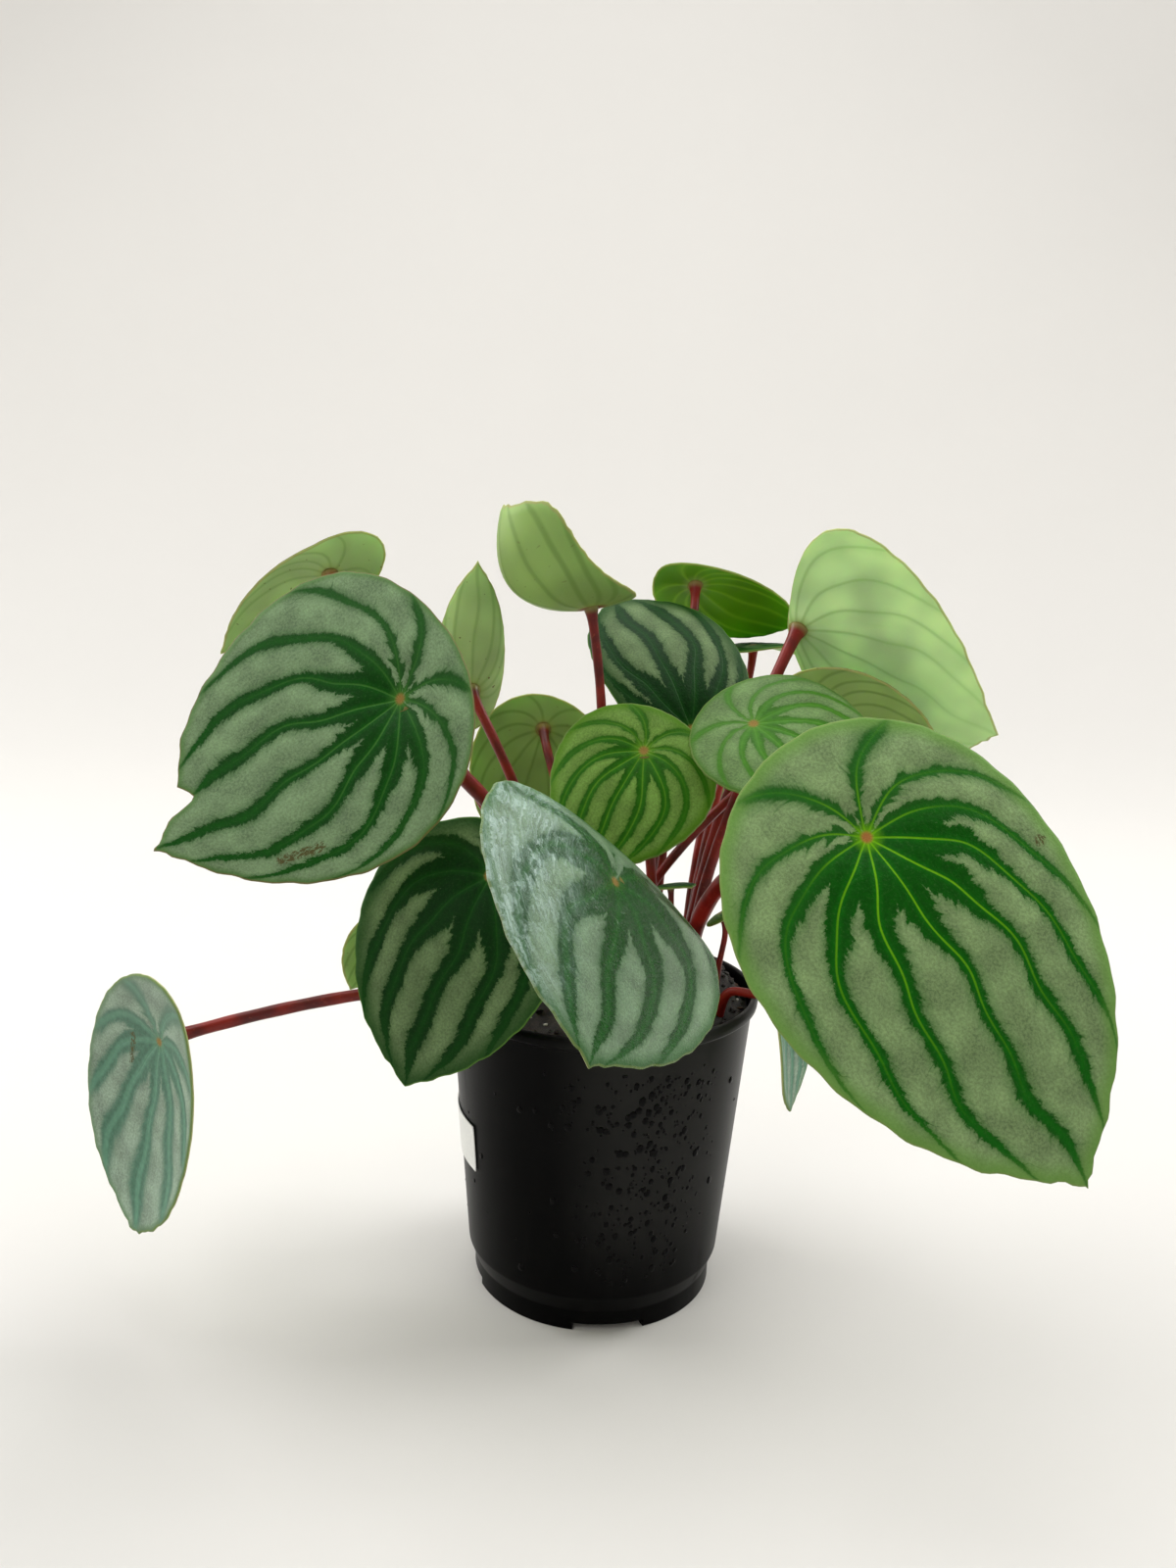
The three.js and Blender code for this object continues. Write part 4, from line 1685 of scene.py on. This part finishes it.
@dataclass
class Droplets:
    """The beads of water on the pot's wall, most of them right of the front.

    Attributes:
        pot: The pot they stand on.
        count: How many there are.
        crowded_share: The share of them that is crowded together.
        crowd_middle: Where round the wall the crowd is, in degrees.
        crowd_spread: How wide it is, in degrees.
        crowd_rise: How it is spread upwards: less than 1 sets more of them high.
        lowest: How high the lowest stands.
        height: How much higher the highest stands.
        smallest: The smallest one's half width.
        size_range: How much wider the widest is.
        smallness: How many are small: more than 1 makes more of them so.
        longest: The longest one's length, as a share of its width.
        flatness: A bead's height, as a share of its half width.
        sunk: How far its edge is inside the wall.
        around: How many corners a ring of its mesh has.
        rings: How many rings its mesh has.
        seed: What their places are drawn from.
    """

    pot: Pot
    count: int = 480
    crowded_share: float = 0.8
    crowd_middle: float = -71.0
    crowd_spread: float = 15.0
    crowd_rise: float = 0.65
    lowest: float = 18.0
    height: float = 74.0
    smallest: float = 0.3
    size_range: float = 0.95
    smallness: float = 2.4
    longest: float = 1.35
    flatness: float = 0.42
    sunk: float = 0.02
    around: int = 12
    rings: int = 4
    seed: int = 7

    def build(self) -> None:
        """Builds and settles the beads as one piece."""
        rng = random.Random(self.seed)
        points: list[Triple] = []
        faces: list[Face] = []
        for _ in range(self.count):
            self.add_bead(rng, points, faces)
        settle(mesh_piece("water_drops", points, faces, WATER), Slot.POT)

    def add_bead(self, rng: random.Random, points: list[Triple], faces: list[Face]) -> None:
        """Adds one bead, closed where it sits on the wall.

        Args:
            rng: What its place and size are drawn from.
            points: The piece's points so far.
            faces: The piece's faces so far.
        """
        crowded = rng.random() < self.crowded_share
        turned = rng.gauss(self.crowd_middle, self.crowd_spread) if crowded else rng.uniform(-180, 180)
        angle = math.radians(turned)
        up = rng.random() ** self.crowd_rise if crowded else rng.random()
        height = self.lowest + self.height * up
        size = self.smallest + self.size_range * rng.random() ** self.smallness
        stretch = rng.uniform(1.0, self.longest)
        base = self.pot.wall_radius(height) - self.sunk
        thick = size * self.flatness
        first = len(points)
        for ring in range(self.rings):
            tilt = ring / self.rings * math.pi / 2
            radius, spread = base + math.sin(tilt) * thick, math.cos(tilt) * size
            for i in range(self.around):
                turn = 2 * math.pi * i / self.around
                aside, above = math.cos(turn) * spread, math.sin(turn) * spread * stretch
                points.append(polar(radius, angle + aside / base, height + above))
        points += [polar(base + thick, angle, height), polar(base, angle, height)]
        grid = grid_faces(self.rings, self.around, True)
        faces += [tuple(first + place for place in face) for face in grid]
        last, top = first + (self.rings - 1) * self.around, first + self.rings * self.around
        for i in range(self.around):
            j = (i + 1) % self.around
            faces += [(last + i, last + j, top), (first + j, first + i, top + 1)]


@dataclass
class Label:
    """A bare paper label round the wall's left side."""

    pot: Pot
    thickness: float = 0.3
    gap: float = 0.3
    lifting: float = 0.2
    bottom: float = 46.0
    height: float = 16.0
    near_angle: float = math.radians(-147.5)
    span: float = math.radians(40)
    columns: int = 40
    rows: int = 12

    def sheet(self, offset: float) -> list[Triple]:
        """One side of the paper, with its corners just lifting.

        Args:
            offset: How far it is from the wall.

        Returns:
            Its points, row by row.
        """
        points: list[Triple] = []
        for row in range(self.rows + 1):
            up = row / self.rows
            height = self.bottom + self.height * up
            for i in range(self.columns + 1):
                along = i / self.columns
                corner = (abs(along - 0.5) * 2) ** 8 * (abs(up - 0.5) * 2) ** 6
                radius = self.pot.wall_radius(height) + offset + self.lifting * corner
                points.append(polar(radius, self.near_angle - self.span * along, height))
        return points

    def build(self) -> None:
        """Builds and settles the label."""
        points = [*self.sheet(self.gap), *self.sheet(self.gap + self.thickness)]
        wide, rows = self.columns + 1, self.rows
        size = (rows + 1) * wide
        inner = grid_faces(rows + 1, wide, False)
        faces = [*inner, *(tuple(place + size for place in reversed(face)) for face in inner)]
        ring = [*range(wide), *((row + 1) * wide - 1 for row in range(1, rows + 1))]
        ring += [*(rows * wide + i for i in range(self.columns - 1, -1, -1))]
        ring += [*(row * wide for row in range(rows - 1, 0, -1))]
        faces += [(b, a, a + size, b + size) for a, b in zip(ring, [*ring[1:], ring[0]])]
        label = mesh_piece("bare_label", points, faces, LABEL_PAPER)
        weld(label, 40)
        settle(label, Slot.LABEL, "label")


SOIL_LEVEL = 97.0
SOIL_MOUNDS = ((24.0, 6.0, 24.0, 13.0), (-8.0, 2.0, 17.0, 15.0))
CROWNS = (("crown_left", -11.0, 1.0), ("crown_right", 21.0, 3.0))


def soil_height(x: float, y: float) -> float:
    """The soil's height, heaped where the stalks stand.

    Args:
        x: How far right of the pot's axis.
        y: How far behind it.

    Returns:
        The height over the pot's underside.
    """
    height = SOIL_LEVEL
    for mound_x, mound_y, rise, spread in SOIL_MOUNDS:
        away = (x - mound_x) ** 2 + (y - mound_y) ** 2
        height += rise * math.exp(-away / (2 * spread**2))
    return height


@dataclass(frozen=True)
class Grains:
    """Something strewn over the soil: how many, how large and how long for their width."""

    name: str
    finish: Earthy
    count: int
    sizes: Pair
    stretch: float
    seed: int


STREWN = (
    Grains("soil_crumbs", SOIL_DARK, 900, (0.4, 1.9), 1.5, 11),
    Grains("perlite_grains", PERLITE, 46, (0.5, 1.3), 1.3, 12),
    Grains("bark_fibres", FIBRE, 60, (0.35, 0.8), 6.0, 13),
)


def lump() -> tuple[list[Vector], list[Face]]:
    """A lump with twenty sides, at radius 1.

    Returns:
        Its twelve corners and its faces.
    """
    golden = (1 + math.sqrt(5)) / 2
    corners = [(-1, golden, 0), (1, golden, 0), (-1, -golden, 0), (1, -golden, 0)]
    corners += [(0, -1, golden), (0, 1, golden), (0, -1, -golden), (0, 1, -golden)]
    corners += [(golden, 0, -1), (golden, 0, 1), (-golden, 0, -1), (-golden, 0, 1)]
    faces = [
        (0, 11, 5), (0, 5, 1), (0, 1, 7), (0, 7, 10), (0, 10, 11), (1, 5, 9), (5, 11, 4),
        (11, 10, 2), (10, 7, 6), (7, 1, 8), (3, 9, 4), (3, 4, 2), (3, 2, 6), (3, 6, 8),
        (3, 8, 9), (4, 9, 5), (2, 4, 11), (6, 2, 10), (8, 6, 7), (9, 8, 1),
    ]
    return [Vector(corner).normalized() for corner in corners], faces


@dataclass
class Soil:
    """The mounded potting mix with its crumbs, white grains and bark fibres."""

    pot: Pot
    bottom: float = 4.6
    gap: float = 0.3
    roughness: float = 1.5
    crumb_rate: float = 0.16
    rim_sunk: float = 0.6
    clear_rim: float = 1.5
    rings: int = 46
    columns: int = 132

    @property
    def radius(self) -> float:
        """The soil's radius at its top."""
        return self.pot.wall_radius(SOIL_LEVEL) - self.pot.wall - self.gap

    def surface(self, x: float, y: float) -> float:
        """The crumbly surface, which sinks a little and smooths out at the wall.

        Args:
            x: How far right of the pot's axis.
            y: How far behind it.

        Returns:
            Its height.
        """
        rough = noise.fractal(Vector((x, y, 0)) * self.crumb_rate, 0.9, 2.1, 4) * self.roughness
        inner = max(0.0, 1 - ((math.hypot(x, y) / self.radius) ** 10))
        return soil_height(x, y) + rough * inner - self.rim_sunk * (1 - inner)

    def build_body(self) -> None:
        """Builds the filled body with its rough top."""
        inset = self.pot.wall + self.gap
        low, foot = self.pot.foot_radius - inset, self.pot.wall_foot[1] + 1
        side = [
            (low, self.bottom), (low, self.pot.foot_height),
            (self.pot.wall_radius(foot) - inset, foot),
        ]
        turns = [2 * math.pi * i / self.columns for i in range(self.columns)]
        points = [polar(radius, turn, height) for radius, height in side for turn in turns]
        for ring in range(self.rings):
            radius = self.radius * (1 - ring / self.rings)
            for turn in turns:
                x, y, _ = polar(radius, turn, 0)
                points.append((x, y, self.surface(x, y)))
        faces = grid_faces(self.rings + len(side), self.columns, True)
        points += [(0, 0, self.surface(0, 0)), (0, 0, self.bottom)]
        top, last = len(points) - 2, (self.rings + len(side) - 1) * self.columns
        for i in range(self.columns):
            j = (i + 1) % self.columns
            faces += [(last + i, last + j, top), (j, i, top + 1)]
        settle(mesh_piece("potting_mix", points, faces, SOIL_DARK), Slot.SOIL, "soil")

    def strew(self, grains: Grains) -> None:
        """Strews irregular grains over the soil as one piece.

        Args:
            grains: What is strewn.
        """
        rng = random.Random(grains.seed)
        smallest, largest = grains.sizes
        corners, shell = lump()
        points: list[Triple] = []
        faces: list[Face] = []
        for _ in range(grains.count):
            radius = (self.radius - self.clear_rim) * math.sqrt(rng.random())
            x, y, _ = polar(radius, rng.uniform(0, 2 * math.pi), 0)
            size = smallest + (largest - smallest) * rng.random() ** 2
            spin = Matrix.Rotation(rng.uniform(0, math.pi), 3, "Z")
            spin = spin @ Matrix.Rotation(rng.uniform(-0.5, 0.5), 3, "X")
            long_way = rng.uniform(1, grains.stretch)
            centre = Vector((x, y, self.surface(x, y) + size * 0.3))
            faces += [tuple(len(points) + place for place in face) for face in shell]
            for corner in corners:
                bent = corner * size * rng.uniform(0.7, 1.15)
                bent = spin @ Vector((bent.x * long_way, bent.y, bent.z * 0.8))
                points.append(tuple(centre + bent))
        settle(mesh_piece(grains.name, points, faces, grains.finish, sharp_over=35), Slot.SOIL)

    def build(self) -> None:
        """Builds the body and what lies on it."""
        self.build_body()
        for grains in STREWN:
            self.strew(grains)


@dataclass
class Crown:
    """A short woody stump that stalks stand round."""

    name: str
    x: float
    y: float
    radius: float = 3.5
    rise: float = 8.0
    sunk: float = 8.0
    knobbly: float = 0.14
    knobs_round: float = 2.0
    knobs_up: float = 0.5
    dome_from: float = 0.78
    rows: int = 20
    sides: int = 20

    def build(self) -> None:
        """Builds and settles the stump, knobbly and domed on top."""
        level = soil_height(self.x, self.y)
        points: list[Triple] = []
        for row in range(self.rows):
            share = row / (self.rows - 1)
            height = level - self.sunk + (self.rise + self.sunk) * share
            domed = max(0.0, share - self.dome_from) / (1 - self.dome_from)
            dome = max(math.sqrt(max(0.0, 1 - domed**2)), 0.02)
            for i in range(self.sides):
                turn = 2 * math.pi * i / self.sides
                knob = noise.noise(Vector(polar(self.knobs_round, turn, height * self.knobs_up)))
                x, y, _ = polar(self.radius * dome * (1 + self.knobbly * knob), turn, 0)
                points.append((self.x + x, self.y + y, height))
        faces = grid_faces(self.rows, self.sides, True)
        last = (self.rows - 1) * self.sides
        faces += [tuple(reversed(range(self.sides))), tuple(range(last, last + self.sides))]
        stump = mesh_piece(f"stump_{self.name}", points, faces, CROWN_BARK)
        settle(stump, Slot.CROWN, self.name)


# ---- The plant ----

LEAVES = (
    Leaf(
        name="left_large", joint=(-63, -42, 203), tip=(-130, -56, 158), face=(-0.2, -1, 0.35),
        back=22.6, half=(36, 50), arch=3, bow=6, drop=(2, 2), wave=1, dimple=3,
        root=(-5, -7), stalk_radius=2.6, rise=42, reach=34, widest=0.63,
        tears=(Tear(-0.58, 0.1, 5.0, 0.7), Tear(-0.62, 0.5, 4.5, 1.6)),
        blemishes=(Blemish((52, 18.3), (40.5, 20.7), 1.6),),
    ),
    Leaf(
        name="left_back", joint=(-97, 22, 237), tip=(-134, 20, 208), face=(-0.2, 0.9, 0.6),
        back=21.5, half=(13.7, 12.9), arch=3.8, bow=0, drop=(4, 4), wave=1, dimple=2,
        root=(-19, 4), stalk_radius=1.8, rise=60, reach=24, widest=0.61, curl=16, lower=LIGHT,
    ),
    Leaf(
        name="left_folded", joint=(-47, 6, 201), tip=(-45, 0, 243), face=(-0.2, 1, 0.1),
        back=13, half=(11, 11), arch=1, bow=0, drop=(-5, -6), wave=1, dimple=1,
        root=(-14, 10), stalk_radius=1.7, rise=40, reach=14, lower=LIGHT,
    ),
    Leaf(
        name="back_left", joint=(-24, 36, 185), tip=(-37, 34, 140), face=(0, 1, 0.35),
        back=12, half=(22, 26), arch=2, bow=0, drop=(3, 3), wave=1, dimple=1.5,
        root=(-6, 14), stalk_radius=1.6, rise=35, reach=20, lower=OLIVE,
    ),
    Leaf(
        name="top", joint=(-8.5, 6, 229.8), tip=(-37.8, 4, 260.7), face=(0.3, 0.5, 1),
        back=7.5, half=(18.5, 16.6), arch=-17, bow=0, drop=(-18, -15), wave=1, dimple=1,
        root=(-1, 8), stalk_radius=1.6, rise=60, reach=30, widest=0.36, lower=OLIVE,
    ),
    Leaf(
        name="centre_back", joint=(27, 14, 189.5), tip=(-1, 55, 228.6), face=(0, -0.7, 1),
        back=16, half=(20.5, 30.8), arch=6, bow=0, drop=(3, 3), wave=1, dimple=1.5,
        root=(14, 6), stalk_radius=1.8, rise=35, reach=22, widest=0.45, upper=DEEP, veins=4.8,
    ),
    Leaf(
        name="back_bright", joint=(29.6, 61, 237.2), tip=(71.3, 73, 223), face=(0.1, 0.8, 0.6),
        back=15.5, half=(20.4, 11.2), arch=1, bow=0, drop=(2, 2), wave=1, dimple=1.5,
        root=(18, 22), stalk_radius=1.7, rise=64, reach=20, widest=0.56,
        upper=FRESH, lower=VIVID,
    ),
    Leaf(
        name="centre_round", joint=(10, -14, 186), tip=(-9, -28, 150), face=(-0.1, -1, 0.5),
        back=15, half=(27, 25), arch=2, bow=0, drop=(3, 3), wave=1, dimple=1.5,
        root=(17, -6), stalk_radius=1.8, rise=30, reach=22, upper=FRESH,
    ),
    Leaf(
        name="centre_right", joint=(44, -16, 196), tip=(84, -30, 178), face=(0.1, -0.85, 0.8),
        back=18, half=(26, 26), arch=4, bow=0, drop=(3, 3), wave=1, dimple=1.5,
        root=(29, 0), stalk_radius=1.9, rise=35, reach=24, upper=MILD,
    ),
    Leaf(
        name="front", joint=(1, -60, 155), tip=(-7, -108, 119), face=(0.7, -0.49, 0.51),
        back=23, half=(47, 50), arch=2, bow=0, drop=(3, 3), wave=1, dimple=3,
        root=(6, -14), stalk_radius=2.2, rise=30, reach=24, curl=-20, upper=GLOSSY,
        veins=3.8, vein_swing=0.93,
    ),
    Leaf(
        name="front_left", joint=(-35, -50, 153), tip=(-57, -62, 92), face=(-0.2, -1, 0.4),
        back=16, half=(30, 33), arch=4, bow=0, drop=(3, 3), wave=1, dimple=2,
        root=(-11, -17), stalk_radius=2.1, rise=25, reach=24, upper=DEEP, veins=4.2, vein_swing=0.93,
    ),
    Leaf(
        name="far_left", joint=(-133, -50, 98), tip=(-142, -52, 37), face=(-0.65, -0.76, 0.15),
        back=25, half=(30, 30), arch=-5, bow=-5, drop=(-6, -6), wave=1, dimple=1,
        root=(-22, -13), stalk_radius=2, rise=16, reach=22, widest=0.5, tip_point=0.45,
        upper=COOL, stalk_flare=2.2, veins=4.5, vein_swing=0.5,
        blemishes=(Blemish((2, -12), (12, -12), 1.2),),
    ),
    Leaf(
        name="left_low_back", joint=(-66, 0, 121), tip=(-86, 2, 96), face=(-0.5, 1, 0.4),
        back=10, half=(16, 16), arch=2, bow=0, drop=(2, 2), wave=1, dimple=1.5,
        root=(-26, -3), stalk_radius=1.6, rise=20, reach=14, lower=OLIVE,
    ),
    Leaf(
        name="right_large", joint=(61, -106, 181), tip=(112, -132, 105), face=(0.15, -1, 0.3),
        back=30, half=(41, 44), arch=4, bow=0, drop=(4, 4), wave=1.5, dimple=3,
        root=(27, -5), stalk_radius=2.8, rise=55, reach=40, upper=BROAD,
        blemishes=(Blemish((22, 36), (22, 37), 1.4),),
    ),
    Leaf(
        name="right_tall", joint=(62, 20, 224.5), tip=(127, 2, 192.5), face=(0.54, 0.88, 0.43),
        back=4, half=(27, 42), arch=0, bow=0, drop=(0, 2), wave=1, dimple=2,
        root=(29, 13), stalk_radius=2.1, rise=38, reach=18, widest=0.63, skew=0.44,
    ),
    Leaf(
        name="right_back", joint=(70, 10, 198), tip=(106, -8, 188), face=(0.45, 0.85, 0.35),
        back=16, half=(20, 18), arch=3, bow=0, drop=(3, 3), wave=1, dimple=1.5,
        root=(4, 1), stalk_radius=1.6, rise=40, reach=20, lower=OLIVE,
    ),
    Leaf(
        name="right_low", joint=(56, -26, 112), tip=(60, -32, 74), face=(0.95, -0.5, 0.2),
        back=10, half=(15, 15), arch=1, bow=0, drop=(-3, -3), wave=0.5, dimple=1,
        root=(38, -15), stalk_radius=1.5, rise=16, reach=14, upper=COOL,
    ),
    Leaf(
        name="centre_low_back", joint=(38, 50, 166), tip=(42, 62, 143), face=(0.2, 1, 0.5),
        back=6, half=(14, 14), arch=2, bow=0, drop=(3, 3), wave=1, dimple=1.5,
        root=(29, 25), stalk_radius=1.6, rise=30, reach=16, lower=OLIVE,
    ),
    Leaf(
        name="back_right_edge", joint=(53, 66, 215), tip=(75, 76, 210), face=(0.1, 0.1, 1),
        back=12, half=(16, 16), arch=2, bow=0, drop=(1, 1), wave=0.5, dimple=1,
        root=(29, 16), stalk_radius=1.5, rise=45, reach=20, upper=DEEP, lower=OLIVE,
    ),
    Leaf(
        name="young_front", joint=(21, -8, 141), tip=(27, -19, 143), face=(0.2, -0.4, 1),
        back=4, half=(6, 6), arch=0.5, bow=0, drop=(1, 1), wave=0, dimple=0.5,
        root=(22, -12), stalk_radius=1, rise=8, reach=6, upper=DEEP,
    ),
    Leaf(
        name="young_back", joint=(39, -2, 130), tip=(45, -12, 134), face=(-0.2, -0.4, 1),
        back=5, half=(7, 7), arch=0.5, bow=0, drop=(1, 1), wave=0, dimple=0.5,
        root=(38, -3), stalk_radius=1, rise=12, reach=8, upper=FRESH,
    ),
)


# ---- Studio ----


@dataclass(frozen=True)
class SoftLight:
    """A soft square light that faces a point. Its places and its size are in metres."""

    name: str
    at: Triple
    power: float
    size: float
    aim_at: Triple

    def build(self) -> None:
        """Builds the light."""
        data = bpy.data.lights.new(self.name, "AREA")
        data.energy, data.size = self.power, self.size
        light = bpy.data.objects.new(self.name, data)
        light.location = self.at
        aim = Vector(self.aim_at) - Vector(self.at)
        light.rotation_euler = aim.to_track_quat("-Z", "Y").to_euler()
        bpy.context.scene.collection.objects.link(light)


PLANT_MIDDLE = (0.0, 0.0, 0.14)
LIGHTS = (
    SoftLight("window", (-1.1, 0.3, 1.0), 11.5, 0.9, PLANT_MIDDLE),
    SoftLight("overhead", (0.0, 0.1, 1.5), 9.5, 1.0, PLANT_MIDDLE),
    SoftLight("side", (1.0, 0.35, 1.05), 9.5, 0.6, PLANT_MIDDLE),
    SoftLight("front", (-0.6, -0.9, 1.1), 2.2, 0.5, PLANT_MIDDLE),
    SoftLight("backdrop", (0.0, 0.7, 1.6), 9, 1.2, (0.0, 1.7, 0.5)),
)


@dataclass
class Studio:
    """The pale floor, the soft lights and the camera at the photograph's angle.

    Attributes:
        camera_at: Where the camera stands, in millimetres.
        tilt: How far it is turned up from looking straight down.
        roll: How far it is turned about its line of sight.
        focal_pixels: Its focal length in the picture's pixels.
        long_side_pixels: The picture's height in pixels.
        sensor: The sensor's long side, in millimetres.
        floor_sides: How many sides the round floor has before it is softened.
        floor_rings: How far out and how high each of its rings is, in millimetres.
        sky: The colour of the even light all round.
        sky_strength: How strong that light is.
    """

    camera_at: Triple = (-7.3, -398, 246)
    tilt: float = math.radians(79.5)
    roll: float = math.radians(2.1)
    focal_pixels: float = 1250.0
    long_side_pixels: float = 1600.0
    sensor: float = 36.0
    floor_sides: int = 48
    floor_rings: tuple[Pair, ...] = (
        (200, 0), (800, 0), (1100, 10), (1350, 80), (1520, 220), (1620, 450), (1670, 800),
        (1700, 1500), (1720, 3000),
    )
    sky: Colour = (0.95, 0.97, 1.0, 1.0)
    sky_strength: float = 0.08

    def build_floor(self) -> None:
        """Builds the floor, which curves up into a backdrop on every side."""
        turns = [2 * math.pi * i / self.floor_sides for i in range(self.floor_sides)]
        points = [polar(reach, turn, lift) for reach, lift in self.floor_rings for turn in turns]
        grid = grid_faces(len(self.floor_rings), self.floor_sides, True)
        faces = [*(tuple(reversed(face)) for face in grid), tuple(range(self.floor_sides))]
        floor = mesh_piece("floor", points, faces, FLOOR_PALE)
        soften = floor.modifiers.new("soften", "SUBSURF")
        soften.levels = soften.render_levels = 2

    def build_lights(self) -> None:
        """Builds the lights and the even light all round."""
        for light in LIGHTS:
            light.build()
        world = bpy.data.worlds.new("studio")
        bpy.context.scene.world = world
        world.use_nodes = True
        background = world.node_tree.nodes["Background"]
        background.inputs["Color"].default_value = self.sky
        background.inputs["Strength"].default_value = self.sky_strength

    def build_camera(self) -> None:
        """Builds the camera where the photograph was taken from."""
        data = bpy.data.cameras.new("camera")
        data.lens = self.sensor * self.focal_pixels / self.long_side_pixels
        data.sensor_width = self.sensor
        data.clip_start, data.clip_end = 0.01, 20
        camera = bpy.data.objects.new("camera", data)
        turn = Matrix.Rotation(self.tilt, 4, "X") @ Matrix.Rotation(self.roll, 4, "Z")
        camera.matrix_world = Matrix.Translation(Vector(self.camera_at) * MM) @ turn
        bpy.context.scene.collection.objects.link(camera)
        bpy.context.scene.camera = camera

    def build(self) -> None:
        """Builds the whole studio."""
        self.build_camera()
        self.build_floor()
        self.build_lights()
        bpy.context.scene.view_settings.view_transform = "Standard"


def main() -> None:
    """Builds the studio and the plant, piece by piece."""
    logging.basicConfig(level=logging.INFO, format="%(name)s %(message)s")
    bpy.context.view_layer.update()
    Studio().build()
    pot = Pot()
    for part in (pot, Droplets(pot), Label(pot), Soil(pot)):
        part.build()
    for name, x, y in CROWNS:
        Crown(name, x, y).build()
    for leaf in LEAVES:
        leaf.build()


if __name__ == "__main__":
    main()
